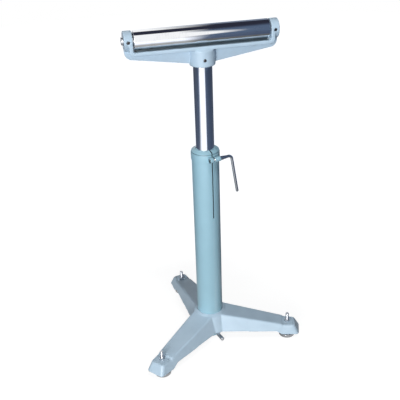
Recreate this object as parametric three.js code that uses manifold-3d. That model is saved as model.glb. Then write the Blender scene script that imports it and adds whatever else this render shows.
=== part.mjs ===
// Roller stand: a cast tripod base on levelling feet carries a slit column with a lever clamp.
// A chromed post slides and swivels in the column and holds a chromed roller in a cast cradle.
// Millimetres, +Z up, roller along X, standing on Z = 0.
import * as THREE from 'three';
import { mergeVertices } from 'three/addons/utils/BufferGeometryUtils.js';
import Module from 'manifold-3d';

const wasm = await Module();
wasm.setup();

// Gaps between pieces
const SEAT_GAP = 0.3;
const SLIDE_GAP = 0.4;

// Roller and its bearings
const ROLLER_LENGTH = 350;
const ROLLER_RADIUS = 25;
const ROLLER_WALL = 4;
const ROLLER_MIDDLE_WALL = 5;
const ROLLER_EDGE = 1;
const ROLLER_FLOOR_CLEARANCE = 1.5;
const ROLLER_END_CLEARANCE = 3.5;
const AXLE_RADIUS = 10;
const AXLE_OVERHANG = 5;
const AXLE_EDGE = 1.2;
const BEARING_WIDTH = 12;
const BEARING_RECESS = 3;
const BALL_RADIUS = 2.8;
const BALL_COUNT = 8;
const CAGE_WIDTH = 4;
const CAGE_THICKNESS = 1.8;
const RETAINER_THICKNESS = 1.5;
const RETAINER_DEPTH = 2.6;
const RETAINER_GROOVE_DEPTH = 1;
const SPACER_WALL = 2.7;

// Cradle casting
const CRADLE_WIDTH = 50;
const FLANGE_THICKNESS = 8.5;
const EAR_THICKNESS = 10;
const EAR_HEAD_THICKNESS = 21.5;
const CRADLE_INNER_CORNER = 5;
const CRADLE_OUTER_CORNER = 13;
const WEB_THICKNESS = 10;
const WEB_DEPTH_AT_BOSS = 36.5;
const WEB_DEPTH_AT_EAR = 14.5;
const WEB_CORNER = 24;
const BOSS_WALL = 8.3;
const BOSS_HEIGHT = 43;
const BOSS_EDGE = 1.5;
const BOSS_SHOULDER = 7;
const POST_SCREW_ABOVE_BOSS_END = 18;
const SET_SCREW_RADIUS = 4;
const SET_SCREW_RECESS = 0.8;
const SET_SCREW_SOCKET = 2.3;
const SET_SCREW_SOCKET_DEPTH = 4;

// Post
const POST_RADIUS = 25.4;
const POST_WALL = 4;
const POST_LENGTH = 610.5;
const POST_RAISED = 233;
const GUIDE_HEIGHT = 30;
const GUIDE_ABOVE_END = 10;
const GUIDE_GROOVE_DEPTH = 0.8;

// Column, its split bush and the clamp, built with the slit facing +X and then turned
const COLUMN_RADIUS = 38.1;
const COLUMN_WALL = 6;
const COLUMN_LENGTH = 614;
const COLUMN_FLOOR_CLEARANCE = 4;
const COLUMN_TURN = THREE.MathUtils.degToRad(-74);
const SLIT_WIDTH = 3;
const SLIT_LENGTH = 198;
const BUSH_LENGTH = 120;
const BUSH_FLANGE_OVERHANG = 0.5;
const BUSH_RIM_HEIGHT = 1.2;
const BUSH_CONE_HEIGHT = 5.5;
const BUSH_MOUTH = 2.2;
const BAND_THICKNESS = 1.5;
const BAND_HEIGHT = 21;
const BAND_BELOW_TOP = 2.5;
const BAND_OPENING = 6;
const LUG_RADIUS = 7.2;
const THREADED_LUG_LENGTH = 10;
const PLAIN_LUG_LENGTH = 4.5;
const CLAMP_SPACER_LENGTH = 11;
const CLAMP_SCREW_RADIUS = 3.9;
const CLAMP_SCREW_RECESS = 3;
const CLAMP_SCREW_GRIP = 6;
const LEVER_HUB_RADIUS = 6.2;
const LEVER_HUB_LENGTH = 22;
const LEVER_ROD_RADIUS = 4;
const LEVER_REACH = 36;
const LEVER_BEND = 11;
const LEVER_DROP = 112;
const LEVER_SPLAY = 18;
const PIN_RADIUS = 5.5;
const PIN_ABOVE_END = 9;
const PIN_FRONT_REACH = 38;
const PIN_BACK_REACH = 4;

// Base casting, built with one leg along +X and then turned under the head
const BASE_TURN = THREE.MathUtils.degToRad(-19.75);
const LEG_NAMES = ['right', 'rear', 'front'];
const STUD_CIRCLE_RADIUS = 238;
const PAD_THICKNESS = 29.5;
const PAD_INNER_REACH = 13;
const PAD_STEP_RUN = 4;
const PAD_END_REACH_TOP = 23;
const PAD_END_REACH_BOTTOM = 38;
const PAD_HALF_WIDTH_TOP = 22.5;
const PAD_HALF_WIDTH_BOTTOM = 29.5;
const PAD_CORNER = 10;
const LEG_ARCH = 13;
const LEG_ROOT_HEIGHT = 50.5;
const LEG_TIP_HEIGHT = 20;
const LEG_ROOT_HALF_WIDTH_TOP = 32.5;
const LEG_TIP_HALF_WIDTH_TOP = 24.5;
const LEG_TIP_DROP = 3.3;
const LEG_DRAFT = 0.317;
const LEG_EDGE = 4.5;
const LEG_WALL = 9;
const HUB_WALL = 11.2;
const HUB_SKIRT_FLARE = 15;
const HUB_RIM_WALL = 7.8;
const HUB_RIM_LAND = 2;
const HUB_RIM_EDGE = 1;
const HUB_RIM_HEIGHT = 5;
const HUB_SHOULDER_RISE = 0.6;
const HUB_SLEEVE_WALL = 10;

// Levelling feet
const FOOT_RADIUS = 24;
const FOOT_HEIGHT = 12;
const FOOT_EDGE = 1;
const FOOT_CROWN_RADIUS = 10;
const FOOT_RIM_HEIGHT = 10;
const FOOT_SOCKET_DEPTH = 7;
const FOOT_TO_PAD = 7;
const STUD_RADIUS = 5;
const STUD_ABOVE_PAD = 28;
const STUD_EDGE = 1.2;
const LOCK_NUT_RADIUS = 8.1;
const LOCK_NUT_HEIGHT = 6;

// Facets round a circle
const LARGE = 40;
const MEDIUM = 20;
const SMALL = 12;
const HEXAGON = 6;
const EDGE_STEPS = 2;
const CORNER_STEPS = 4;
const LEVER_STEPS = 24;

// Levels that the pieces share
const padBottomZ = FOOT_HEIGHT + FOOT_TO_PAD;
const padTopZ = padBottomZ + PAD_THICKNESS;
const legBottomZ = padBottomZ + LEG_ARCH;
const hubShoulderZ = legBottomZ + LEG_ROOT_HEIGHT + HUB_SHOULDER_RISE;
const columnBottomZ = COLUMN_FLOOR_CLEARANCE;
const columnTopZ = columnBottomZ + COLUMN_LENGTH;
const bushFlangeZ = columnTopZ + SEAT_GAP;
const bushTopZ = bushFlangeZ + BUSH_RIM_HEIGHT + BUSH_CONE_HEIGHT;
const bossBottomZ = bushTopZ + POST_RAISED;
const flangeBottomZ = bossBottomZ + BOSS_HEIGHT;
const flangeTopZ = flangeBottomZ + FLANGE_THICKNESS;
const flangeMiddleZ = (flangeBottomZ + flangeTopZ) / 2;
const postScrewZ = bossBottomZ + POST_SCREW_ABOVE_BOSS_END;
const rollerZ = flangeTopZ + ROLLER_FLOOR_CLEARANCE + ROLLER_RADIUS;
const postTopZ = flangeBottomZ - SEAT_GAP;
const postBottomZ = postTopZ - POST_LENGTH;
const pinZ = columnBottomZ + PIN_ABOVE_END;

// Radii and reaches that the pieces share
const columnBoreRadius = COLUMN_RADIUS - COLUMN_WALL;
const bushBoreRadius = POST_RADIUS + SLIDE_GAP;
const hubBoreRadius = COLUMN_RADIUS + SEAT_GAP;
const bossRadius = POST_RADIUS + SEAT_GAP + BOSS_WALL;
const hubShoulderRadius = hubBoreRadius + HUB_WALL;
const earInnerX = ROLLER_LENGTH / 2 + ROLLER_END_CLEARANCE;
const earOuterX = earInnerX + EAR_HEAD_THICKNESS;
const earMiddleX = (earInnerX + earOuterX) / 2;
const bandOuterRadius = COLUMN_RADIUS + SEAT_GAP + BAND_THICKNESS;
const lugX = bandOuterRadius + LUG_RADIUS;
const lugZ = columnTopZ - BAND_BELOW_TOP - BAND_HEIGHT / 2;
const bearingOuterX = ROLLER_LENGTH / 2 - BEARING_RECESS;
const bearingInnerX = bearingOuterX - BEARING_WIDTH;
const rollerSeatRadius = ROLLER_RADIUS - ROLLER_WALL;
const innerRaceBore = AXLE_RADIUS + SEAT_GAP;
const outerRaceRadius = rollerSeatRadius - SEAT_GAP;
const ballCircleRadius = (innerRaceBore + outerRaceRadius) / 2;
const padInnerR = STUD_CIRCLE_RADIUS - PAD_INNER_REACH;
const legTipR = padInnerR - PAD_STEP_RUN;

// Finishes
const finish = (color, roughness, metalness) => () => (
  new THREE.MeshStandardMaterial({ color, roughness, metalness })
);
const castPaint = finish(0xa9bccb, 0.5, 0.1);
const columnPaint = finish(0x8fb4bf, 0.45, 0.1);
const chrome = finish(0xe6e9ee, 0.06, 1);
const zinc = finish(0xc3c6cc, 0.3, 1);
const blackOxide = finish(0x3a3b40, 0.4, 1);
const brightSteel = finish(0xb4b8bd, 0.25, 1);
const nylon = finish(0xe8e4d8, 0.6, 0);

// Turns a closed geometry into a solid that can be joined and cut.
function solid(geometry) {
  geometry.deleteAttribute('normal');
  geometry.deleteAttribute('uv');
  const merged = mergeVertices(geometry);
  return new wasm.Manifold(new wasm.Mesh({
    numProp: 3,
    vertProperties: new Float32Array(merged.attributes.position.array),
    triVerts: new Uint32Array(merged.index.array),
  }));
}

// Turns a solid back into a geometry.
function surface(body) {
  const { vertProperties, triVerts } = body.getMesh();
  const geometry = new THREE.BufferGeometry();
  geometry.setAttribute('position', new THREE.BufferAttribute(vertProperties, 3));
  geometry.setIndex(new THREE.BufferAttribute(triVerts, 1));
  geometry.computeVertexNormals();
  return geometry;
}

const join = (bodies) => bodies.reduce((whole, body) => whole.add(body));
const cut = (body, tools) => tools.reduce((rest, tool) => rest.subtract(tool), body);

// A ring or disc round Z from its [radius, height] outline, drawn anticlockwise.
function revolve(outline, facets) {
  const points = outline.map(([radius, z]) => new THREE.Vector2(radius, z));
  if (outline[0][0] > 0) points.push(points[0].clone());
  return new THREE.LatheGeometry(points, facets).rotateX(Math.PI / 2);
}

// A plain tube round Z.
function tube(outer, inner, bottom, top, facets) {
  return revolve([[outer, bottom], [outer, top], [inner, top], [inner, bottom]], facets);
}

// A rod along X, Y or Z from one place on that axis to another, with its other centres given.
function rod(radius, axis, from, to, centre, facets) {
  const geometry = new THREE.CylinderGeometry(radius, radius, to - from, facets);
  const middle = new THREE.Vector3(...centre);
  middle[axis] = (from + to) / 2;
  if (axis === 'x') geometry.rotateZ(-Math.PI / 2);
  if (axis === 'z') geometry.rotateX(Math.PI / 2);
  return geometry.translate(middle.x, middle.y, middle.z);
}

// A block from its lowest to its highest corner.
function block(low, high) {
  const size = high.map((value, axis) => value - low[axis]);
  const middle = high.map((value, axis) => (value + low[axis]) / 2);
  return new THREE.BoxGeometry(...size).translate(...middle);
}

// A flat outline in X and Z, given a thickness along Y that is centred on Y = 0.
function plate(shape, thickness) {
  const geometry = new THREE.ExtrudeGeometry(shape, {
    depth: thickness, bevelEnabled: false, curveSegments: CORNER_STEPS,
  });
  return geometry.rotateX(Math.PI / 2).translate(0, thickness / 2, 0);
}

// A skin over a row of closed rings along X, each with as many points, capped at both ends.
function loft(rings) {
  const count = rings[0].length;
  const last = (rings.length - 1) * count;
  const index = [];
  for (let start = 0; start < last; start += count) {
    for (let i = 0; i < count; i += 1) {
      const next = (i + 1) % count;
      index.push(start + i, start + next, start + i + count);
      index.push(start + next, start + next + count, start + i + count);
    }
  }
  for (let i = 1; i < count - 1; i += 1) {
    index.push(0, i + 1, i);
    index.push(last, last + i, last + i + 1);
  }
  const positions = rings.flat().flatMap((point) => point.toArray());
  const geometry = new THREE.BufferGeometry();
  geometry.setAttribute('position', new THREE.Float32BufferAttribute(positions, 3));
  geometry.setIndex(index);
  return geometry;
}

function piece(name, geometry, material) {
  const mesh = new THREE.Mesh(geometry, material());
  mesh.name = name;
  return mesh;
}

// One cross-section of a leg: straight sloping sides and a flat top with rounded edges.
// Each of bottom and top gives its reach from the column, its level and its half width.
function legRing(bottom, top) {
  const at = (level, side) => new THREE.Vector3(level.reach, side * level.half, level.z);
  const rounded = (from, corner, to) => {
    const toward = (target) => target.clone().sub(corner).setLength(LEG_EDGE).add(corner);
    return new THREE.QuadraticBezierCurve3(toward(from), corner, toward(to)).getPoints(EDGE_STEPS);
  };
  return [
    at(bottom, -1),
    at(bottom, 1),
    ...rounded(at(bottom, 1), at(top, 1), at(top, -1)),
    ...rounded(at(top, 1), at(top, -1), at(bottom, -1)),
  ];
}

// How far along a leg a reach from the column lies, from 0 at the hub to 1 at the pad.
function alongLeg(reach) {
  return (reach - hubShoulderRadius) / (legTipR - hubShoulderRadius);
}

// The top and bottom edges of a leg at a reach from the column, on flat sides with an even draft.
function legTop(reach) {
  const along = alongLeg(reach);
  return {
    reach,
    z: legBottomZ + THREE.MathUtils.lerp(LEG_ROOT_HEIGHT, LEG_TIP_HEIGHT, along),
    half: THREE.MathUtils.lerp(LEG_ROOT_HALF_WIDTH_TOP, LEG_TIP_HALF_WIDTH_TOP, along),
  };
}

function legBottom(reach) {
  const top = legTop(reach);
  const z = legBottomZ - LEG_TIP_DROP * alongLeg(reach);
  return { reach, z, half: top.half + LEG_DRAFT * (top.z - z) };
}

// A leg along +X: it slopes down from the hub, steps onto its pad and ends in rounded corners.
function legBody() {
  const rootR = hubBoreRadius / 2;
  const rings = [
    legRing(legBottom(rootR), legTop(rootR)),
    legRing(legBottom(legTipR - LEG_ARCH), legTop(legTipR)),
    legRing(
      { reach: padInnerR, z: padBottomZ, half: LEG_TIP_HALF_WIDTH_TOP + LEG_DRAFT * PAD_THICKNESS },
      { reach: padInnerR, z: padTopZ, half: LEG_TIP_HALF_WIDTH_TOP },
    ),
  ];
  for (let step = 0; step <= CORNER_STEPS; step += 1) {
    const turn = (Math.PI / 2) * (step / CORNER_STEPS);
    const back = PAD_CORNER * (1 - Math.sin(turn));
    const narrow = PAD_CORNER * (1 - Math.cos(turn));
    rings.push(legRing(
      {
        reach: STUD_CIRCLE_RADIUS + PAD_END_REACH_BOTTOM - back,
        z: padBottomZ,
        half: PAD_HALF_WIDTH_BOTTOM - narrow,
      },
      {
        reach: STUD_CIRCLE_RADIUS + PAD_END_REACH_TOP - back,
        z: padTopZ,
        half: PAD_HALF_WIDTH_TOP - narrow,
      },
    ));
  }
  return solid(loft(rings));
}

// The hollow under a leg, which leaves an even wall over it.
function legHollow() {
  const ringAt = (reach) => {
    const top = legTop(reach);
    const bottom = legBottom(reach);
    return legRing(
      { reach, z: bottom.z - LEG_WALL, half: bottom.half - LEG_WALL },
      { reach, z: top.z - LEG_WALL, half: top.half - LEG_WALL },
    );
  };
  const fromR = hubShoulderRadius + HUB_SKIRT_FLARE + LEG_WALL;
  const toR = legTipR - LEG_ARCH - LEG_WALL;
  return solid(loft([ringAt(fromR), ringAt(toR)]));
}

// The hub: a flared skirt with a raised, sloping rim round the column and a sleeve below it.
function hubBody() {
  const sleeveBottomZ = pinZ + PIN_RADIUS + SEAT_GAP;
  const sleeveRadius = hubBoreRadius + HUB_SLEEVE_WALL;
  const rimRadius = hubBoreRadius + HUB_RIM_WALL;
  return solid(revolve([
    [0, sleeveBottomZ],
    [sleeveRadius, sleeveBottomZ],
    [sleeveRadius, legBottomZ],
    [hubShoulderRadius + HUB_SKIRT_FLARE, legBottomZ],
    [hubShoulderRadius, hubShoulderZ],
    [rimRadius, hubShoulderZ],
    [rimRadius, hubShoulderZ + HUB_RIM_EDGE],
    [hubBoreRadius + HUB_RIM_LAND, hubShoulderZ + HUB_RIM_HEIGHT],
    [0, hubShoulderZ + HUB_RIM_HEIGHT],
  ], LARGE));
}

function baseCasting() {
  const turns = LEG_NAMES.map((name, i) => (i * 360) / LEG_NAMES.length);
  const leg = legBody();
  const hollow = legHollow();
  const studHole = solid(rod(
    STUD_RADIUS + SEAT_GAP, 'z', 0, padTopZ + PAD_THICKNESS, [STUD_CIRCLE_RADIUS, 0, 0], SMALL,
  ));
  const bore = solid(rod(hubBoreRadius, 'z', 0, bushTopZ, [0, 0, 0], LARGE));
  const whole = join([hubBody(), ...turns.map((turn) => leg.rotate([0, 0, turn]))]);
  const tools = turns.flatMap((turn) => [hollow, studHole].map((tool) => tool.rotate([0, 0, turn])));
  return piece('base_casting', surface(cut(whole, [bore, ...tools])), castPaint);
}

// A levelling foot at the origin of its own group: disc, stud and lock nut.
function levellingFoot(name) {
  const socketFloorZ = FOOT_HEIGHT - FOOT_SOCKET_DEPTH;
  const socketRadius = STUD_RADIUS + SEAT_GAP;
  const studTopZ = padTopZ + STUD_ABOVE_PAD;
  const disc = revolve([
    [0, 0],
    [FOOT_RADIUS - FOOT_EDGE, 0],
    [FOOT_RADIUS, FOOT_EDGE],
    [FOOT_RADIUS, FOOT_RIM_HEIGHT],
    [FOOT_CROWN_RADIUS, FOOT_HEIGHT],
    [socketRadius, FOOT_HEIGHT],
    [socketRadius, socketFloorZ],
    [0, socketFloorZ],
  ], MEDIUM);
  const stud = revolve([
    [0, socketFloorZ + SEAT_GAP],
    [STUD_RADIUS, socketFloorZ + SEAT_GAP],
    [STUD_RADIUS, studTopZ - STUD_EDGE],
    [STUD_RADIUS - STUD_EDGE, studTopZ],
    [0, studTopZ],
  ], SMALL);
  const nutBottomZ = padTopZ + SEAT_GAP;
  const nutTopZ = nutBottomZ + LOCK_NUT_HEIGHT;
  const nut = cut(solid(rod(LOCK_NUT_RADIUS, 'z', nutBottomZ, nutTopZ, [0, 0, 0], HEXAGON)), [
    solid(rod(STUD_RADIUS + SEAT_GAP, 'z', 0, studTopZ, [0, 0, 0], SMALL)),
  ]);
  const foot = new THREE.Group();
  foot.position.set(STUD_CIRCLE_RADIUS, 0, 0);
  foot.add(
    piece(`foot_disc_${name}`, disc, brightSteel),
    piece(`foot_stud_${name}`, stud, zinc),
    piece(`foot_lock_nut_${name}`, surface(nut), zinc),
  );
  return foot;
}

function tripod() {
  const group = new THREE.Group();
  group.rotation.z = BASE_TURN;
  group.add(baseCasting());
  LEG_NAMES.forEach((name, i) => {
    const arm = new THREE.Group();
    arm.rotation.z = (2 * Math.PI * i) / LEG_NAMES.length;
    arm.add(levellingFoot(name));
    group.add(arm);
  });
  return group;
}

// The slit through the front wall of the column and its bush, with a round lower end.
function slitTool() {
  const bottomZ = columnTopZ - SLIT_LENGTH;
  const half = SLIT_WIDTH / 2;
  return join([
    solid(block([0, -half, bottomZ], [lugX, half, bushTopZ + SLIT_WIDTH])),
    solid(rod(half, 'x', 0, lugX, [0, 0, bottomZ], SMALL)),
  ]);
}

function columnTube() {
  const pinHole = rod(PIN_RADIUS + SEAT_GAP, 'x', -lugX, lugX, [0, 0, pinZ], SMALL);
  const body = solid(tube(COLUMN_RADIUS, columnBoreRadius, columnBottomZ, columnTopZ, LARGE));
  return piece('column_tube', surface(cut(body, [slitTool(), solid(pinHole)])), columnPaint);
}

// The split bush that the clamp closes on the post: a sleeve in the column under a sloping flange.
function columnBush() {
  const sleeveRadius = columnBoreRadius - SEAT_GAP;
  const flangeRadius = COLUMN_RADIUS + BUSH_FLANGE_OVERHANG;
  const body = solid(revolve([
    [bushBoreRadius, columnTopZ - BUSH_LENGTH],
    [sleeveRadius, columnTopZ - BUSH_LENGTH],
    [sleeveRadius, bushFlangeZ],
    [flangeRadius, bushFlangeZ],
    [flangeRadius, bushFlangeZ + BUSH_RIM_HEIGHT],
    [bushBoreRadius + BUSH_MOUTH, bushTopZ],
    [bushBoreRadius, bushTopZ],
  ], LARGE));
  return piece('column_bush', surface(cut(body, [slitTool()])), columnPaint);
}

// The band round the top of the column, with a threaded and a plain lug beside its opening.
function clampBand() {
  const half = BAND_OPENING / 2;
  const innerRadius = COLUMN_RADIUS + SEAT_GAP;
  const lowZ = lugZ - BAND_HEIGHT / 2;
  const highZ = lugZ + BAND_HEIGHT / 2;
  const lugs = [[-half - THREADED_LUG_LENGTH, -half], [half, half + PLAIN_LUG_LENGTH]];
  const lugBodies = lugs.flatMap(([from, to]) => [
    solid(rod(LUG_RADIUS, 'y', from, to, [lugX, 0, lugZ], MEDIUM)),
    solid(block([innerRadius / 2, from, lugZ - LUG_RADIUS], [lugX, to, lugZ + LUG_RADIUS])),
  ]);
  const band = solid(tube(bandOuterRadius, innerRadius, lowZ, highZ, LARGE));
  const opening = solid(block([0, -half, lowZ], [lugX + LUG_RADIUS, half, highZ]));
  const inside = solid(rod(innerRadius, 'z', lowZ, highZ, [0, 0, 0], LARGE));
  const hole = solid(rod(
    CLAMP_SCREW_RADIUS + SEAT_GAP, 'y', -lugX, lugX, [lugX, 0, lugZ], SMALL,
  ));
  const body = cut(join([band, ...lugBodies]), [inside, opening, hole]);
  return piece('clamp_band', surface(body), columnPaint);
}

// The clamp's screw, spacer sleeve and bent lever lie in a row along Y beside the plain lug.
function clampParts() {
  const spacerY = BAND_OPENING / 2 + PLAIN_LUG_LENGTH + SEAT_GAP;
  const hubY = spacerY + CLAMP_SPACER_LENGTH + SEAT_GAP;
  const hubEndY = hubY + LEVER_HUB_LENGTH;
  const holeRadius = CLAMP_SCREW_RADIUS + SEAT_GAP;
  const axis = [lugX, 0, lugZ];

  const spacer = cut(
    solid(rod(LUG_RADIUS, 'y', spacerY, spacerY + CLAMP_SPACER_LENGTH, axis, MEDIUM)),
    [solid(rod(holeRadius, 'y', 0, hubY, axis, SMALL))],
  );

  const screwFromY = CLAMP_SCREW_RECESS - BAND_OPENING / 2 - THREADED_LUG_LENGTH;
  const screwToY = hubY + CLAMP_SCREW_GRIP;
  const screw = rod(CLAMP_SCREW_RADIUS, 'y', screwFromY, screwToY, axis, SMALL);

  const hub = new THREE.CylinderGeometry(LEVER_ROD_RADIUS, LEVER_HUB_RADIUS, LEVER_HUB_LENGTH, MEDIUM)
    .translate(lugX, (hubY + hubEndY) / 2, lugZ);
  const elbow = new THREE.Vector3(lugX, hubY + LEVER_REACH, lugZ);
  const start = new THREE.Vector3(lugX, hubEndY - LEVER_ROD_RADIUS, lugZ);
  const tip = new THREE.Vector3(0, LEVER_SPLAY, -LEVER_DROP).add(elbow);
  const bendFrom = start.clone().sub(elbow).setLength(LEVER_BEND).add(elbow);
  const bendTo = tip.clone().sub(elbow).setLength(LEVER_BEND).add(elbow);
  const path = new THREE.CurvePath();
  path.add(new THREE.LineCurve3(start, bendFrom));
  path.add(new THREE.QuadraticBezierCurve3(bendFrom, elbow, bendTo));
  path.add(new THREE.LineCurve3(bendTo, tip));
  const section = new THREE.Shape().absarc(0, 0, LEVER_ROD_RADIUS, 0, 2 * Math.PI);
  const arm = new THREE.ExtrudeGeometry(section, {
    steps: LEVER_STEPS, extrudePath: path, curveSegments: SMALL / 2,
  });
  const ball = new THREE.SphereGeometry(LEVER_ROD_RADIUS, SMALL, SMALL / 2).translate(...tip.toArray());
  const screwHole = rod(holeRadius, 'y', 0, screwToY + SEAT_GAP, axis, SMALL);
  const lever = cut(join([hub, arm, ball].map(solid)), [solid(screwHole)]);

  return [
    piece('clamp_spacer', surface(spacer), columnPaint),
    piece('clamp_screw', screw, zinc),
    piece('clamp_lever', surface(lever), zinc),
  ];
}

// The pin across the lower end of the column, which keeps it from being pulled out of the hub.
function columnPin() {
  const backX = -COLUMN_RADIUS - PIN_BACK_REACH;
  const frontX = COLUMN_RADIUS + PIN_FRONT_REACH;
  return piece('column_pin', rod(PIN_RADIUS, 'x', backX, frontX, [0, 0, pinZ], SMALL), zinc);
}

function column() {
  const group = new THREE.Group();
  group.rotation.z = COLUMN_TURN;
  group.add(columnTube(), columnBush(), clampBand(), ...clampParts(), columnPin());
  return group;
}

// The post has a shallow groove near its lower end that holds the guide ring.
function post() {
  const grooveFromZ = postBottomZ + GUIDE_ABOVE_END;
  const grooveToZ = grooveFromZ + GUIDE_HEIGHT;
  const grooveRadius = POST_RADIUS - GUIDE_GROOVE_DEPTH;
  const boreRadius = POST_RADIUS - POST_WALL;
  const body = revolve([
    [POST_RADIUS, postBottomZ],
    [POST_RADIUS, grooveFromZ],
    [grooveRadius, grooveFromZ],
    [grooveRadius, grooveToZ],
    [POST_RADIUS, grooveToZ],
    [POST_RADIUS, postTopZ],
    [boreRadius, postTopZ],
    [boreRadius, postBottomZ],
  ], LARGE);
  const ring = tube(
    columnBoreRadius - SLIDE_GAP, grooveRadius + SEAT_GAP,
    grooveFromZ + SEAT_GAP, grooveToZ - SEAT_GAP, LARGE,
  );
  return [piece('post_tube', body, chrome), piece('post_guide_ring', ring, nylon)];
}

// The wide strip of the cradle: a U under and beside the roller.
function cradleStrip() {
  const outerX = earInnerX + EAR_THICKNESS;
  const shape = new THREE.Shape();
  shape.moveTo(-outerX, rollerZ);
  shape.lineTo(-outerX, flangeBottomZ + CRADLE_OUTER_CORNER);
  shape.quadraticCurveTo(-outerX, flangeBottomZ, -outerX + CRADLE_OUTER_CORNER, flangeBottomZ);
  shape.lineTo(outerX - CRADLE_OUTER_CORNER, flangeBottomZ);
  shape.quadraticCurveTo(outerX, flangeBottomZ, outerX, flangeBottomZ + CRADLE_OUTER_CORNER);
  shape.lineTo(outerX, rollerZ);
  shape.lineTo(earInnerX, rollerZ);
  shape.lineTo(earInnerX, flangeTopZ + CRADLE_INNER_CORNER);
  shape.quadraticCurveTo(earInnerX, flangeTopZ, earInnerX - CRADLE_INNER_CORNER, flangeTopZ);
  shape.lineTo(CRADLE_INNER_CORNER - earInnerX, flangeTopZ);
  shape.quadraticCurveTo(-earInnerX, flangeTopZ, -earInnerX, flangeTopZ + CRADLE_INNER_CORNER);
  shape.lineTo(-earInnerX, rollerZ);
  return plate(shape, CRADLE_WIDTH);
}

// The narrow web on the centre plane: deep at the boss, round the corners and up to the ear heads.
function cradleWeb() {
  const earX = earInnerX + EAR_THICKNESS / 2;
  const rootZ = flangeBottomZ - WEB_DEPTH_AT_BOSS;
  const tipZ = flangeBottomZ - WEB_DEPTH_AT_EAR;
  const shape = new THREE.Shape();
  shape.moveTo(-earOuterX, rollerZ);
  shape.lineTo(-earOuterX, tipZ + WEB_CORNER);
  shape.quadraticCurveTo(-earOuterX, tipZ, -earOuterX + WEB_CORNER, tipZ);
  shape.lineTo(-bossRadius, rootZ);
  shape.lineTo(bossRadius, rootZ);
  shape.lineTo(earOuterX - WEB_CORNER, tipZ);
  shape.quadraticCurveTo(earOuterX, tipZ, earOuterX, tipZ + WEB_CORNER);
  shape.lineTo(earOuterX, rollerZ);
  shape.lineTo(earX, rollerZ);
  shape.lineTo(earX, flangeMiddleZ);
  shape.lineTo(-earX, flangeMiddleZ);
  shape.lineTo(-earX, rollerZ);
  return plate(shape, WEB_THICKNESS);
}

// The boss that takes the post, with a shoulder that runs up into the strip.
function cradleBoss() {
  return revolve([
    [0, bossBottomZ],
    [bossRadius - BOSS_EDGE, bossBottomZ],
    [bossRadius, bossBottomZ + BOSS_EDGE],
    [bossRadius, flangeMiddleZ - BOSS_SHOULDER],
    [CRADLE_WIDTH / 2, flangeMiddleZ],
    [0, flangeMiddleZ],
  ], LARGE);
}

function rollerCradle() {
  const screwHole = (x, z, reach) => (
    solid(rod(SET_SCREW_RADIUS + SEAT_GAP, 'y', -reach, 0, [x, 0, z], SMALL))
  );
  const heads = [[-earOuterX, -earInnerX], [earInnerX, earOuterX]].map(([from, to]) => (
    solid(rod(CRADLE_WIDTH / 2, 'x', from, to, [0, 0, rollerZ], LARGE))
  ));
  const postBore = solid(rod(
    POST_RADIUS + SEAT_GAP, 'z', bossBottomZ - SEAT_GAP, flangeBottomZ, [0, 0, 0], LARGE,
  ));
  const axleBore = solid(rod(
    AXLE_RADIUS + SEAT_GAP, 'x', -2 * earOuterX, 2 * earOuterX, [0, 0, rollerZ], MEDIUM,
  ));
  const body = cut(
    join([solid(cradleStrip()), solid(cradleWeb()), solid(cradleBoss()), ...heads]),
    [
      postBore,
      axleBore,
      screwHole(-earMiddleX, rollerZ, CRADLE_WIDTH),
      screwHole(earMiddleX, rollerZ, CRADLE_WIDTH),
      screwHole(0, postScrewZ, CRADLE_WIDTH),
    ],
  );
  return piece('roller_cradle', surface(body), castPaint);
}

// A socket set screw along Y, from just under the casting's front face to what it presses on.
function setScrew(name, x, z, faceReach, seatReach) {
  const headY = -faceReach + SET_SCREW_RECESS;
  const socketY = headY + SET_SCREW_SOCKET_DEPTH;
  const body = solid(rod(SET_SCREW_RADIUS, 'y', headY, -seatReach - SEAT_GAP, [x, 0, z], SMALL));
  const socket = solid(rod(SET_SCREW_SOCKET, 'y', headY - SET_SCREW_RECESS, socketY, [x, 0, z], HEXAGON));
  return piece(name, surface(cut(body, [socket])), blackOxide);
}

function setScrews() {
  const earReach = CRADLE_WIDTH / 2;
  return [
    setScrew('set_screw_post', 0, postScrewZ, bossRadius, POST_RADIUS),
    setScrew('set_screw_axle_left', -earMiddleX, rollerZ, earReach, AXLE_RADIUS),
    setScrew('set_screw_axle_right', earMiddleX, rollerZ, earReach, AXLE_RADIUS),
  ];
}

// Pieces of revolution round the roller's axis are drawn along Z and laid along X.
const alongRoller = (geometry) => geometry.rotateY(Math.PI / 2).translate(0, 0, rollerZ);

function axle() {
  const end = earOuterX + AXLE_OVERHANG;
  return piece('axle', alongRoller(revolve([
    [0, -end],
    [AXLE_RADIUS - AXLE_EDGE, -end],
    [AXLE_RADIUS, -end + AXLE_EDGE],
    [AXLE_RADIUS, end - AXLE_EDGE],
    [AXLE_RADIUS - AXLE_EDGE, end],
    [0, end],
  ], MEDIUM)), brightSteel);
}

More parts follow.
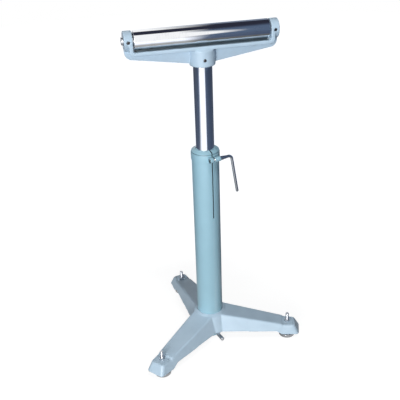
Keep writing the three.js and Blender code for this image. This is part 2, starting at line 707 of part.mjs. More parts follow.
// The roller tube is bored out at both ends for the bearings, with a groove for each retaining ring.
function rollerTube() {
  const end = ROLLER_LENGTH / 2;
  const grooveX = bearingOuterX + SEAT_GAP;
  const grooveEndX = grooveX + RETAINER_THICKNESS;
  const seatX = bearingInnerX - SEAT_GAP;
  const middleRadius = ROLLER_RADIUS - ROLLER_MIDDLE_WALL;
  const grooveRadius = rollerSeatRadius + RETAINER_GROOVE_DEPTH;
  const inside = [
    [rollerSeatRadius, end],
    [rollerSeatRadius, grooveEndX],
    [grooveRadius, grooveEndX],
    [grooveRadius, grooveX],
    [rollerSeatRadius, grooveX],
    [rollerSeatRadius, seatX],
    [middleRadius, seatX],
  ];
  const mirrored = inside.map(([radius, x]) => [radius, -x]).reverse();
  return piece('roller_tube', alongRoller(revolve([
    [ROLLER_RADIUS - ROLLER_EDGE, -end],
    [ROLLER_RADIUS, -end + ROLLER_EDGE],
    [ROLLER_RADIUS, end - ROLLER_EDGE],
    [ROLLER_RADIUS - ROLLER_EDGE, end],
    ...inside,
    ...mirrored,
  ], LARGE)), chrome);
}

// A ball bearing with its two races, and its balls joined in one cage.
function bearing(side, name) {
  const [from, to] = [side * bearingInnerX, side * bearingOuterX].sort((a, b) => a - b);
  const middleX = (from + to) / 2;
  const innerRaceRadius = ballCircleRadius - BALL_RADIUS - SEAT_GAP;
  const outerRaceBore = ballCircleRadius + BALL_RADIUS + SEAT_GAP;
  const cageFrom = middleX - CAGE_WIDTH / 2;
  const cageOuter = ballCircleRadius + CAGE_THICKNESS / 2;
  const ring = tube(cageOuter, cageOuter - CAGE_THICKNESS, cageFrom, cageFrom + CAGE_WIDTH, MEDIUM);
  const balls = Array.from({ length: BALL_COUNT }, (unused, i) => {
    const turn = (2 * Math.PI * i) / BALL_COUNT;
    return new THREE.SphereGeometry(BALL_RADIUS, SMALL / 2, SMALL / 3).translate(
      ballCircleRadius * Math.cos(turn), ballCircleRadius * Math.sin(turn), middleX,
    );
  });
  const cage = surface(join([ring, ...balls].map(solid)));
  const innerRace = tube(innerRaceRadius, innerRaceBore, from, to, MEDIUM);
  const outerRace = tube(outerRaceRadius, outerRaceBore, from, to, LARGE);
  return [
    piece(`bearing_inner_race_${name}`, alongRoller(innerRace), brightSteel),
    piece(`bearing_outer_race_${name}`, alongRoller(outerRace), brightSteel),
    piece(`bearing_ball_cage_${name}`, alongRoller(cage), brightSteel),
  ];
}

// The retaining ring outside each bearing, and the spacer that fills the gap to the ear.
function bearingKeepers(side, name) {
  const spread = (near, far) => [side * near, side * far].sort((a, b) => a - b);
  const grooveX = bearingOuterX + SEAT_GAP;
  const ringOuter = rollerSeatRadius + RETAINER_GROOVE_DEPTH - SEAT_GAP;
  const ringInner = ringOuter - RETAINER_DEPTH;
  const ringSpan = spread(grooveX + SEAT_GAP / 2, grooveX + RETAINER_THICKNESS - SEAT_GAP / 2);
  const ring = tube(ringOuter, ringInner, ...ringSpan, LARGE);
  const spacerSpan = spread(bearingOuterX + SEAT_GAP, earInnerX - SEAT_GAP);
  const spacer = tube(innerRaceBore + SPACER_WALL, innerRaceBore, ...spacerSpan, MEDIUM);
  return [
    piece(`retaining_ring_${name}`, alongRoller(ring), brightSteel),
    piece(`axle_spacer_${name}`, alongRoller(spacer), brightSteel),
  ];
}

function head() {
  const group = new THREE.Group();
  group.add(...post(), rollerCradle(), ...setScrews(), axle(), rollerTube());
  for (const [side, name] of [[-1, 'left'], [1, 'right']]) {
    group.add(...bearing(side, name), ...bearingKeepers(side, name));
  }
  return group;
}

const stand = new THREE.Group();
stand.add(tripod(), column(), head());

// The origin is under the middle of the whole stand, on the floor.
const extent = new THREE.Box3().setFromObject(stand, true);
const middle = extent.getCenter(new THREE.Vector3());
stand.position.set(-middle.x, -middle.y, -extent.min.z);

export default stand;
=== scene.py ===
"""Looks of the roller stand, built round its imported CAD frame.

Pieces are drawn in millimetres round the column's axis, with the floor at Z = 0, and `dress` sets
each of them in the frame. The castings are softened copies of their CAD nodes; the other pieces
are turned, threaded, stacked or bent here.
"""

import math

import bmesh
import bpy
from mathutils import Matrix, Vector


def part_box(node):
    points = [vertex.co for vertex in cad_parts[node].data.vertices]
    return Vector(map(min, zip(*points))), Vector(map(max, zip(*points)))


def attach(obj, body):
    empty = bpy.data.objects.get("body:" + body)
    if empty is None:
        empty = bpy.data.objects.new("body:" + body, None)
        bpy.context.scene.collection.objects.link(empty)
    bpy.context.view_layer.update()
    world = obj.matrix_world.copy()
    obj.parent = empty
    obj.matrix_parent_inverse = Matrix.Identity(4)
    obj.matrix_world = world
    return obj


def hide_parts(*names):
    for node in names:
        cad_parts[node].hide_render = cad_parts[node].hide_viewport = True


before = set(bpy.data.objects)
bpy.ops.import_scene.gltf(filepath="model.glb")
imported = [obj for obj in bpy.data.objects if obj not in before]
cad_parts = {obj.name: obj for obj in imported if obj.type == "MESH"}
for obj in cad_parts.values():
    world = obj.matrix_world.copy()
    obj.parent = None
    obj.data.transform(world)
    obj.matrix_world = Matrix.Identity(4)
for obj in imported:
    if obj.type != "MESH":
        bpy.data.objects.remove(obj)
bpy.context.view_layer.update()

MM = 0.001
X, Y, Z = range(3)
QUARTER = math.pi / 2

# Where the drawing sits in the frame
column_low, column_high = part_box("column_tube")
column_axis = Vector((column_low.x + column_high.x, column_low.y + column_high.y, 0)) / 2
FRAME = Matrix.Translation(column_axis) @ Matrix.Scale(MM, 4)
DRAWING = FRAME.inverted()


def span(node, axis):
    """The lowest and highest place of a node along an axis of the drawing."""
    return [(DRAWING @ corner)[axis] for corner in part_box(node)]


def reach(node, along):
    """The two ends of a node along the Z axis of a place in the drawing."""
    turn = along.inverted() @ DRAWING
    ends = [(turn @ vert.co).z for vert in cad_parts[node].data.vertices]
    return min(ends), max(ends)


# Sizes and counts shared with the CAD model, in millimetres
SEAT_GAP = 0.3
COLUMN_RADIUS = 38.1
COLUMN_BORE = 32.1
COLUMN_TURN = math.radians(-74)
SLIT_WIDTH = 3.0
SLIT_LENGTH = 198.0
HUB_BORE = COLUMN_RADIUS + SEAT_GAP
HUB_RIM = HUB_BORE + 7.8
HUB_RIM_HEIGHT = 5.0
HUB_RIM_LAND = 2.0
HUB_RIM_EDGE = 1.0
POST_RADIUS = 25.4
POST_BORE = 21.4
GUIDE_GROOVE = POST_RADIUS - 0.8
BUSH_BORE = 25.8
BUSH_MOUTH = 28.0
BUSH_SLEEVE = COLUMN_BORE - SEAT_GAP
BUSH_FLANGE = 38.6
BUSH_RIM_HEIGHT = 1.2
BAND_RADIUS = HUB_BORE + 1.5
BAND_OPENING = 6.0
THREADED_LUG_LENGTH = 10.0
PLAIN_LUG_LENGTH = 4.5
LUG_RADIUS = 7.2
LUG_REACH = 47.1
CLAMP_SCREW_RADIUS = 3.9
CLAMP_SCREW_HOLE = CLAMP_SCREW_RADIUS + SEAT_GAP
LEVER_HUB_RADIUS = 6.2
LEVER_HUB_LENGTH = 22.0
LEVER_ROD_RADIUS = 4.0
LEVER_REACH = 36.0
LEVER_BEND = 11.0
LEVER_SPLAY = 18.0
LEVER_DROP = 112.0
PIN_RADIUS = 5.5
ROLLER_RADIUS = 25.0
ROLLER_SEAT = 21.0
ROLLER_BORE = 20.0
RETAINER_GROOVE = 22.0
RETAINER_DEPTH = 2.6
AXLE_RADIUS = 10.0
SPACER_WALL = 2.7
RACE_BORE = AXLE_RADIUS + SEAT_GAP
RACE_OUTER = ROLLER_SEAT - SEAT_GAP
BALL_RADIUS = 2.8
BALL_COUNT = 8
BALL_CIRCLE = (RACE_BORE + RACE_OUTER) / 2
CAGE_THICKNESS = 1.8
CAGE_WIDTH = 4.0
SET_SCREW_RADIUS = 4.0
SET_SCREW_SOCKET = 2.3
SET_SCREW_SOCKET_DEPTH = 4.0
STUD_RADIUS = 5.0
STUD_HOLE = STUD_RADIUS + SEAT_GAP
NUT_RADIUS = 8.1
FOOT_RADIUS = 24.0
FOOT_RIM_HEIGHT = 10.0
FOOT_CROWN = 10.0
FOOT_SOCKET_DEPTH = 7.0

# Sizes of finer detail, in millimetres
NECK_INSET = 0.1
COUNTERSINK_RADIUS = 5.7
COUNTERSINK_DEPTH = 1.6
CLAMP_SCREW_SUNK = 4.0
LEVER_TIP_WIDTH = 0.05
CLAMP_THREAD = {"Pitch": 1.25, "Depth": 0.6, "Lead_In": 1.0}
STUD_THREAD = {"Pitch": 1.5, "Depth": 0.75, "Lead_In": 1.5}
SET_SCREW_DRAWN = 10.0
SET_SCREW_CHAMFER = 0.7
NUT_CHAMFER_INSET = 0.2
NUT_MOUTH = 1.5
NUT_MOUTH_DEPTH = 0.7
FOOT_RECESS_DEPTH = 0.6
FOOT_RECESS_RIM = 5.0
FOOT_RECESS_SLOPE = 1.0
CENTRE_MARK = 3.0
CENTRE_PILOT = 1.2
CENTRE_PILOT_DEPTH = 0.6
RETAINER_PLAY = 0.15
# Where the painted shade in the trough under the roller lies
TROUGH_REACH = 174.0
TROUGH_EDGE = 23.0
TROUGH_FADE = 8.0
TROUGH_DEPTH = 3.0

# The slope of a nut's chamfer
NUT_CHAMFER_SLOPE = 1.4 * math.tan(math.radians(30))

# The share of its full width that the lever's hub starts with, and what it gains each millimetre
LEVER_END_WIDTH = 0.84
LEVER_END_SLOPE = 0.4

# How far the lock nuts are turned, in radians
NUT_TURNS = (0.35, 1.15, 1.95)

# How strong the painted shade is in the trough under the roller and in the joint above the band, from 0 to 1
TROUGH_SHADE = 0.85
JOINT_SHADE = 0.5

# How finely pieces are drawn, and how far tools run past a face
LARGE = 128
MEDIUM = 64
SMALL = 40
FINE = 24
HEXAGON = 6
LEVER_FACETS = 32
LEVER_STEP = 1.0
BEND_STEPS = 16
BALL_RINGS = 14
ROWS_PER_TURN = 6.0
BASE_VOXEL = 1.8
CRADLE_VOXEL = 1.15
SMOOTH_PASSES = 2
SMOOTHING = 0.5
CORNER_STEPS = 4
WELD = 0.01
OVERRUN = 1.0
SHARP_ANGLE = math.radians(40)

# How much of a normal lies along an axis when a face looks that way, loosely and strictly
FACING = 0.7
FLAT_ON = 0.95

# Levels and places read from the frame
column_bottom, column_top = span("column_tube", Z)
bush_bottom, bush_top = span("column_bush", Z)
bush_flange_z = column_top + SEAT_GAP
band_bottom, band_top = span("clamp_band", Z)
post_bottom, post_top = span("post_tube", Z)
boss_bottom = span("roller_cradle", Z)[0]
hub_top = span("base_casting", Z)[1]
roller_z = sum(span("roller_tube", Z)) / 2
lug_z = sum(span("clamp_screw", Z)) / 2
pin_z = sum(span("column_pin", Z)) / 2
FEET = {
    name: Vector([sum(span("foot_disc_" + name, axis)) / 2 for axis in (X, Y)] + [0])
    for name in ("right", "rear", "front")
}

# The nodes of the set screws
SET_SCREWS = ("set_screw_post", "set_screw_axle_left", "set_screw_axle_right")

# Frames that pieces are drawn in along Z, and then laid where they belong
ALONG_ROLLER = Matrix.Translation((0, 0, roller_z)) @ Matrix.Rotation(QUARTER, 4, "Y")
CLAMP = Matrix.Rotation(COLUMN_TURN, 4, "Z")
ALONG_CLAMP = CLAMP @ Matrix.Translation((LUG_REACH, 0, lug_z)) @ Matrix.Rotation(-QUARTER, 4, "X")
ALONG_PIN = CLAMP @ Matrix.Translation((0, 0, pin_z)) @ Matrix.Rotation(QUARTER, 4, "Y")
PLAIN = Matrix.Identity(4)


# Node trees

def feed(tree, socket, value):
    """Link a socket to an input, or set the input to a plain value."""
    if isinstance(value, bpy.types.NodeSocket):
        tree.links.new(value, socket)
    else:
        socket.default_value = value


def add(tree, kind, inputs=None, **settings):
    """Add a node with its settings, and feed its inputs."""
    node = tree.nodes.new(kind)
    for key, value in settings.items():
        setattr(node, key, value)
    for key, value in (inputs or {}).items():
        feed(tree, node.inputs[key], value)
    return node


def calc(tree, operation, *values):
    """One step of arithmetic."""
    return add(tree, "ShaderNodeMath", dict(enumerate(values)), operation=operation).outputs[0]


def vector_calc(tree, operation, *values):
    """One step of arithmetic on vectors: the node's outputs."""
    return add(tree, "ShaderNodeVectorMath", dict(enumerate(values)), operation=operation).outputs


def between(tree, value, low, high):
    """How far a value is from low to high, kept within 0 and 1."""
    inputs = {"Value": value, "From Min": low, "From Max": high}
    return add(tree, "ShaderNodeMapRange", inputs).outputs[0]


def blend(tree, share, first, second):
    """A colour between two colours."""
    return add(tree, "ShaderNodeMix", {0: share, 6: first, 7: second}, data_type="RGBA").outputs[2]


def noise(tree, place, scale, detail):
    """A cloudy value from 0 to 1."""
    inputs = {"Vector": place, "Scale": scale, "Detail": detail}
    return add(tree, "ShaderNodeTexNoise", inputs).outputs["Fac"]


def node_group(name, kind, inputs, outputs):
    """A new tree with named inputs and outputs: the tree, its inputs and its outputs."""
    tree = bpy.data.node_groups.new(name, kind)
    for label, socket in inputs.items():
        tree.interface.new_socket(label, in_out="INPUT", socket_type="NodeSocket" + socket)
    for label, socket in outputs.items():
        tree.interface.new_socket(label, in_out="OUTPUT", socket_type="NodeSocket" + socket)
    return tree, add(tree, "NodeGroupInput").outputs, add(tree, "NodeGroupOutput").inputs


def inside(tree, *bounds):
    """How far all of several values are inside their bounds, from pairs of (value, bound): 0 to 1."""
    share = 1.0
    for value, bound in bounds:
        share = calc(tree, "MULTIPLY", share, between(tree, value, *bound))
    return share


def shaped(tree, kind, inputs=None, **settings):
    """One step of a Geometry Nodes tree: its first output."""
    return add(tree, "GeometryNode" + kind, inputs, **settings).outputs[0]


def joined(tree, *parts):
    """Several geometries as one."""
    join = add(tree, "GeometryNodeJoinGeometry")
    for part in parts:
        tree.links.new(part, join.inputs[0])
    return join.outputs[0]


def finished(tree, output, shape, finish):
    """End a Geometry Nodes tree with plain geometry in its finish."""
    real = shaped(tree, "RealizeInstances", {"Geometry": shape})
    feed(tree, output, shaped(tree, "SetMaterial", {"Geometry": real, "Material": finish}))
    return tree


# Effects that several finishes share

# Bounds between which cloudy values fade in
PATCHES = (0.3, 0.7)
BREAKUP = (0.35, 0.65)
SMEARS = (0.45, 0.75)

# Bounds of Pointiness between which the masks of convex edges and of inner corners fade in
EDGE_BEND = (0.52, 0.6)
CORNER_BEND = (0.49, 0.43)

# How strongly grain shows beside the waves of paint, and the scales of patches and streaks beside finer marks
GRAIN_SHARE = 0.35
PATCH_SCALE = 0.4
STREAK_SCALE = 0.12


def paint_skin_group():
    """The skin of thick paint: fine grain over slow waves, and cloudy patches of tone."""
    inputs = {"Grain Scale": "Float", "Wave Scale": "Float"}
    outputs = {"Height": "Float", "Patches": "Float"}
    tree, given, result = node_group("paint_skin", "ShaderNodeTree", inputs, outputs)
    place = add(tree, "ShaderNodeTexCoord").outputs["Object"]
    grain = noise(tree, place, given["Grain Scale"], detail=3.0)
    waves = noise(tree, place, given["Wave Scale"], detail=2.0)
    patches = noise(tree, place, calc(tree, "MULTIPLY", given["Wave Scale"], PATCH_SCALE), detail=4.0)
    feed(tree, result["Height"], calc(tree, "MULTIPLY_ADD", grain, GRAIN_SHARE, waves))
    feed(tree, result["Patches"], between(tree, patches, *PATCHES))
    return tree


def corner_wear_group():
    """Masks of convex edges and of inner corners, broken up by cloudy noise."""
    inputs = {"Breakup Scale": "Float"}
    outputs = {"Edges": "Float", "Corners": "Float"}
    tree, given, result = node_group("corner_wear", "ShaderNodeTree", inputs, outputs)
    place = add(tree, "ShaderNodeTexCoord").outputs["Object"]
    bend = add(tree, "ShaderNodeNewGeometry").outputs["Pointiness"]
    broken = between(tree, noise(tree, place, given["Breakup Scale"], detail=5.0), *BREAKUP)
    feed(tree, result["Edges"], calc(tree, "MULTIPLY", between(tree, bend, *EDGE_BEND), broken))
    feed(tree, result["Corners"], calc(tree, "MULTIPLY", between(tree, bend, *CORNER_BEND), broken))
    return tree


def turning_marks_group():
    """Fine rings that a lathe or a polishing belt leaves round a turned piece, on its own UV map."""
    inputs = {"Fineness": "Float", "Waver": "Float"}
    outputs = {"Height": "Float", "Streaks": "Float"}
    tree, given, result = node_group("turning_marks", "ShaderNodeTree", inputs, outputs)
    lathe_map = add(tree, "ShaderNodeUVMap", uv_map="turned").outputs["UV"]
    stretch = add(tree, "ShaderNodeCombineXYZ", {"X": given["Waver"], "Y": given["Fineness"]}).outputs[0]
    along = vector_calc(tree, "MULTIPLY", lathe_map, stretch)[0]
    streaks = noise(tree, along, STREAK_SCALE, detail=3.0)
    feed(tree, result["Height"], noise(tree, along, 1.0, detail=2.0))
    feed(tree, result["Streaks"], between(tree, streaks, *PATCHES))
    return tree


def handling_group():
    """Cloudy smears from hands and from stock that has lain on the metal."""
    tree, given, result = node_group("handling", "ShaderNodeTree", {"Scale": "Float"}, {"Smears": "Float"})
    place = add(tree, "ShaderNodeTexCoord").outputs["Object"]
    smears = noise(tree, place, given["Scale"], detail=5.0)
    feed(tree, result["Smears"], between(tree, smears, *SMEARS))
    return tree


PAINT_SKIN = paint_skin_group()
CORNER_WEAR = corner_wear_group()
TURNING_MARKS = turning_marks_group()
HANDLING = handling_group()


def effect(tree, group, **values):
    """Place a shared effect in a material, with its own values."""
    node = add(tree, "ShaderNodeGroup", node_tree=group)
    for label, value in values.items():
        feed(tree, node.inputs[label.replace("_", " ")], value)
    return node.outputs


def new_material(name):
    """A new material, its tree and its surface shader."""
    material = bpy.data.materials.new(name)
    material.use_nodes = True
    return material, material.node_tree, material.node_tree.nodes["Principled BSDF"]


def coat(tree, shader, colour, roughness, height, relief, metallic=0.0):
    """Give a surface its colour, its roughness and a relief of a depth in metres."""
    inputs = {"Height": height, "Distance": relief, "Strength": 1.0}
    normal = add(tree, "ShaderNodeBump", inputs).outputs["Normal"]
    values = {"Base Color": colour, "Roughness": roughness, "Normal": normal, "Metallic": metallic}
    for label, value in values.items():
        feed(tree, shader.inputs[label], value)


# Finishes

# Colours of corner dirt with painted shade, of painted shade in crevices, and of wear, plating, oxide and
# nylon
# Dirt in inner corners, dark as painted shade; also the colour of the painted shade under the roller
DIRT_AND_SHADE = (0.06, 0.10, 0.125, 1)
# Painted shade on the slit's walls, in the joint above the band and in the countersunk hole
CREVICE_SHADE = (0.035, 0.06, 0.07, 1)
ZINC = (0.78, 0.80, 0.83, 1)
CLOUDY_ZINC = (0.66, 0.68, 0.71, 1)
TARNISH = (0.22, 0.22, 0.24, 1)
DEEP_BLACK = (0.05, 0.05, 0.055, 1)
THIN_BLACK = (0.10, 0.10, 0.11, 1)
RUBBED_STEEL = (0.42, 0.43, 0.45, 1)
NYLON = (0.78, 0.74, 0.65, 1)
GREY_NYLON = (0.45, 0.44, 0.41, 1)

# How much shows of the corner dirt and painted shade, the edge wear and painted highlight, and the tarnish
# and the wear on blackened steel, from 0 to 1
CORNER_DIRT_AND_SHADE = 0.55
EDGE_WEAR_AND_HIGHLIGHT = 0.6
CORNER_TARNISH = 0.4
BLACK_WEAR = 0.5

# How far patches and streaks change the roughness of a finish
ENAMEL_PATCHES = -0.08
ZINC_PATCHES = -0.05
BLACK_PATCHES = 0.1
NYLON_STREAKS = 0.1

# How deep the relief of plated, blackened and machined faces is, in metres
PLATED_RELIEF = 0.00003
MACHINED_RELIEF = 0.00005


def enamel(name, colour, shade, rubbed, roughness, sheen, grain_scale, wave_scale, relief):
    """Air-dried enamel: patches of tone, paler edges from wear and painted highlight, inner corners darkened
    by soiling and painted shade, painted shade where a piece marks it, and a wavy skin.
    """
    material, tree, shader = new_material(name)
    skin = effect(tree, PAINT_SKIN, Grain_Scale=grain_scale, Wave_Scale=wave_scale)
    wear = effect(tree, CORNER_WEAR, Breakup_Scale=3 * wave_scale)
    tone = blend(tree, skin["Patches"], shade, colour)
    # Painted shade in the trough under the roller, as the cradle marks it
    roller_shade_mask = add(tree, "ShaderNodeAttribute", attribute_name="painted_roller_shade").outputs["Fac"]
    # Inner corners darken: partly dirt, partly painted shade
    dirt_and_shade = calc(tree, "MAXIMUM", calc(tree, "MULTIPLY", wear["Corners"], CORNER_DIRT_AND_SHADE), roller_shade_mask)
    dirtied_and_shaded = blend(tree, dirt_and_shade, tone, DIRT_AND_SHADE)
    # Convex edges turn paler: partly rubbed wear, partly painted highlight
    worn_and_lit = blend(tree, calc(tree, "MULTIPLY", wear["Edges"], EDGE_WEAR_AND_HIGHLIGHT), dirtied_and_shaded, rubbed)
    # Painted shade in the slit, the joint above the band and the countersunk hole, as the pieces mark it
    crevice_shade_mask = add(tree, "ShaderNodeAttribute", attribute_name="bare").outputs["Fac"]
    bare = blend(tree, crevice_shade_mask, worn_and_lit, CREVICE_SHADE)
    gloss = calc(tree, "MULTIPLY_ADD", skin["Patches"], ENAMEL_PATCHES, roughness)
    coat(tree, shader, bare, gloss, skin["Height"], relief)
    shader.inputs["Specular IOR Level"].default_value = sheen
    return material


def bright_metal(name, colour, stained, roughness, smear, fineness, waver, relief):
    """Plated or bare metal: smears of handling and the rings of its making."""
    material, tree, shader = new_material(name)
    rings = effect(tree, TURNING_MARKS, Fineness=fineness, Waver=waver)
    smears = effect(tree, HANDLING, Scale=45.0)["Smears"]
    tone = blend(tree, calc(tree, "MULTIPLY", smears, rings["Streaks"]), colour, stained)
    smeared = calc(tree, "MULTIPLY_ADD", smears, smear, roughness)
    dull = calc(tree, "MULTIPLY_ADD", rings["Streaks"], smear / 2, smeared)
    coat(tree, shader, tone, dull, rings["Height"], relief, metallic=1.0)
    return material


def zinc_plate(name, roughness):
    """Zinc plating: cloudy spangle, dulled in inner corners."""
    material, tree, shader = new_material(name)
    skin = effect(tree, PAINT_SKIN, Grain_Scale=1400.0, Wave_Scale=260.0)
    wear = effect(tree, CORNER_WEAR, Breakup_Scale=300.0)
    tone = blend(tree, skin["Patches"], CLOUDY_ZINC, ZINC)
    dulled = blend(tree, calc(tree, "MULTIPLY", wear["Corners"], CORNER_TARNISH), tone, TARNISH)
    gloss = calc(tree, "MULTIPLY_ADD", skin["Patches"], ZINC_PATCHES, roughness)
    coat(tree, shader, dulled, gloss, skin["Height"], relief=PLATED_RELIEF, metallic=1.0)
    return material


def black_oxide(roughness):
    """Blackened steel, rubbed through to plain steel along its edges."""
    material, tree, shader = new_material("black_oxide")
    skin = effect(tree, PAINT_SKIN, Grain_Scale=1600.0, Wave_Scale=320.0)
    wear = effect(tree, CORNER_WEAR, Breakup_Scale=500.0)
    tone = blend(tree, skin["Patches"], DEEP_BLACK, THIN_BLACK)
    rubbed = blend(tree, calc(tree, "MULTIPLY", wear["Edges"], BLACK_WEAR), tone, RUBBED_STEEL)
    gloss = calc(tree, "MULTIPLY_ADD", skin["Patches"], BLACK_PATCHES, roughness)
    coat(tree, shader, rubbed, gloss, skin["Height"], relief=PLATED_RELIEF, metallic=1.0)
    return material


def natural_nylon(roughness):
    """Cream nylon, machined, with grey rub marks."""
    material, tree, shader = new_material("natural_nylon")
    rings = effect(tree, TURNING_MARKS, Fineness=900.0, Waver=3.0)
    smears = effect(tree, HANDLING, Scale=60.0)["Smears"]
    tone = blend(tree, smears, NYLON, GREY_NYLON)
    dull = calc(tree, "MULTIPLY_ADD", rings["Streaks"], NYLON_STREAKS, roughness)
    coat(tree, shader, tone, dull, rings["Height"], relief=MACHINED_RELIEF)
    return material


FINISHES = {
    # Each enamel gives its paint colour, a darker tone for cloudy patches, and a paler edge colour for rubbed
    # wear and painted highlight
    "cast_paint": enamel(
        "casting_enamel", (0.50, 0.64, 0.76, 1), (0.45, 0.585, 0.70, 1), (0.70, 0.79, 0.86, 1),
        roughness=0.42, sheen=0.5, grain_scale=420.0, wave_scale=55.0, relief=0.0005,
    ),
    "column_paint": enamel(
        "column_enamel", (0.335, 0.56, 0.665, 1), (0.31, 0.525, 0.625, 1), (0.46, 0.61, 0.69, 1),
        roughness=0.40, sheen=0.9, grain_scale=700.0, wave_scale=40.0, relief=0.0003,
    ),
    "chrome": bright_metal(
        "hard_chrome", (0.91, 0.92, 0.94, 1), (0.80, 0.82, 0.85, 1),
        roughness=0.05, smear=0.05, fineness=1800.0, waver=2.0, relief=0.000004,
    ),
    "bright_steel": bright_metal(
        "turned_steel", (0.62, 0.63, 0.65, 1), (0.42, 0.42, 0.43, 1),
        roughness=0.22, smear=0.14, fineness=2600.0, waver=1.0, relief=0.00004,
    ),
    "zinc": zinc_plate("zinc_plate", roughness=0.18),
    "dull_zinc": zinc_plate("dull_zinc_plate", roughness=0.4),
    "black_oxide": black_oxide(roughness=0.38),
    "nylon": natural_nylon(roughness=0.5),
}


# Making pieces

def piece(name, bm):
    """A new object from a drawn mesh."""
    mesh = bpy.data.meshes.new(name)
    bm.to_mesh(mesh)
    bm.free()
    obj = bpy.data.objects.new(name, mesh)
    bpy.context.collection.objects.link(obj)
    return obj


def settled(obj):
    """Make what the modifiers give a piece its own plain mesh."""
    graph = bpy.context.evaluated_depsgraph_get()
    mesh = bpy.data.meshes.new_from_object(obj.evaluated_get(graph), depsgraph=graph)
    obj.modifiers.clear()
    obj.data = mesh
    return obj


def carve(obj, operation, *tools):
    """Cut tools out of a piece, join them to it or keep what they share with it."""
    for tool in tools:
        step = obj.modifiers.new("carve", "BOOLEAN")
        step.operation = operation
        step.solver = "EXACT"
        step.object = tool
        settled(obj)
        bpy.data.objects.remove(tool)
    return obj


def rounded(outline):
    """The points of a closed outline of (radius, height, corner), with its corners rounded."""
    points = []
    for i, (radius, height, corner) in enumerate(outline):
        here = Vector((radius, height))
        before = Vector(outline[i - 1][:2]) - here
        after = Vector(outline[(i + 1) % len(outline)][:2]) - here
        if corner == 0:
            points.append(here)
            continue
        start = here + before.normalized() * corner
        end = here + after.normalized() * corner
        for step in range(CORNER_STEPS + 1):
            t = step / CORNER_STEPS
            points.append(start * (1 - t) ** 2 + here * 2 * t * (1 - t) + end * t ** 2)
    return points


def turned(name, outline, facets, place=PLAIN):
    """A piece turned round Z from an anticlockwise outline, with a UV map of turns and distance."""
    bm = bmesh.new()
    lathe_map = bm.loops.layers.uv.new("turned")
    points = rounded(outline)
    rings = []
    for radius, height in points:
        count = facets if radius > WELD else 1
        angles = [2 * math.pi * k / facets for k in range(count)]
        rings.append([bm.verts.new((radius * math.cos(a), radius * math.sin(a), height)) for a in angles])
    travel = 0.0
    for i, low in enumerate(rings):
        j = (i + 1) % len(rings)
        high = rings[j]
        length = (points[j] - points[i]).length * MM
        for k in range(facets if len(low) + len(high) > 2 else 0):
            corners = [
                (low[k % len(low)], (k, travel)),
                (low[(k + 1) % len(low)], (k + 1, travel)),
                (high[(k + 1) % len(high)], (k + 1, travel + length)),
                (high[k % len(high)], (k, travel + length)),
            ]
            unlike = list({vert: spot for vert, spot in reversed(corners)}.items())[::-1]
            face = bm.faces.new([vert for vert, spot in unlike])
            for loop, (vert, (turn, distance)) in zip(face.loops, unlike):
                loop[lathe_map].uv = (turn / facets, distance)
        travel += length
    bm.transform(place)
    return piece(name, bm)


def ring(bore, outer, low, high, inner_edge=0.0, outer_edge=0.0):
    """The outline of a plain ring or, with no bore, of a rod."""
    return [
        (bore, low, inner_edge),
        (outer, low, outer_edge),
        (outer, high, outer_edge),
        (bore, high, inner_edge),
    ]


def rod(radius, low, high, place=PLAIN, facets=MEDIUM):
    """A plain rod for cutting or joining."""
    return turned("rod", ring(0, radius, low, high), facets, place)


def other_end(outline):
    """The outline of one end of a piece along Z, drawn again for its other end."""
    return [(radius, -height, corner) for radius, height, corner in reversed(outline)]


def block(low, high, place=PLAIN):
    """A plain block for cutting."""
    bm = bmesh.new()
    size = Vector(high) - Vector(low)
    middle = (Vector(high) + Vector(low)) / 2
    bmesh.ops.create_cube(bm, size=1.0, matrix=Matrix.Translation(middle) @ Matrix.Diagonal(size.to_4d()))
    bm.transform(place)
    return piece("block", bm)


def grown(obj, tree, **values):
    """Run a Geometry Nodes tree on a piece with its named inputs set, and keep the plain mesh."""
    grower = obj.modifiers.new(tree.name, "NODES")
    grower.node_group = tree
    for item in tree.interface.items_tree:
        label = item.name.replace(" ", "_")
        if item.in_out == "INPUT" and label in values:
            grower[item.identifier] = values[label]
    return settled(obj)


def dress(obj, slot, body, *nodes, place=PLAIN):
    """Set a finished piece in the frame, on its body and in the place of its nodes."""
    obj.data.transform(FRAME @ place)
    if not obj.data.materials:
        obj.data.materials.append(FINISHES[slot])
    obj.data.shade_smooth()
    obj.data.set_sharp_from_angle(angle=SHARP_ANGLE)
    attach(obj, body)
    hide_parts(*nodes)


# Castings

def casting(name, node, voxel):
    """A copy of a cast node whose edges and inner corners run soft, as a sand mould leaves them."""
    bm = bmesh.new()
    bm.from_mesh(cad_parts[node].data)
    bm.transform(DRAWING)
    bmesh.ops.remove_doubles(bm, verts=bm.verts, dist=WELD)
    body = piece(name, bm)
    skin = body.modifiers.new("skin", "REMESH")
    skin.mode = "VOXEL"
    skin.voxel_size = voxel
    soften = body.modifiers.new("soften", "SMOOTH")
    soften.factor = SMOOTHING
    soften.iterations = SMOOTH_PASSES
    return settled(body)


def base():
    """The tripod: soft legs and pads, a crisp sloping rim round the column and drilled pads."""
    body = casting("tripod_base", "base_casting", BASE_VOXEL)
    rim_bottom = hub_top - HUB_RIM_HEIGHT
    root_radius = HUB_BORE - 2 * OVERRUN
    root_bottom = rim_bottom - 3 * OVERRUN
    rim = turned("rim", [
        (root_radius, root_bottom, 0),
        (HUB_RIM, root_bottom, 0),
        (HUB_RIM, rim_bottom + HUB_RIM_EDGE, 0.6),
        (HUB_BORE + HUB_RIM_LAND, hub_top, 0.6),
        (root_radius, hub_top, 0),
    ], LARGE)
    carve(body, "UNION", rim)
    holes = [rod(STUD_HOLE, 0, 2 * hub_top, Matrix.Translation(spot)) for spot in FEET.values()]
    carve(body, "DIFFERENCE", rod(HUB_BORE, 0, 2 * hub_top, facets=LARGE), *holes)
    dress(body, "cast_paint", "stand_base", "base_casting")


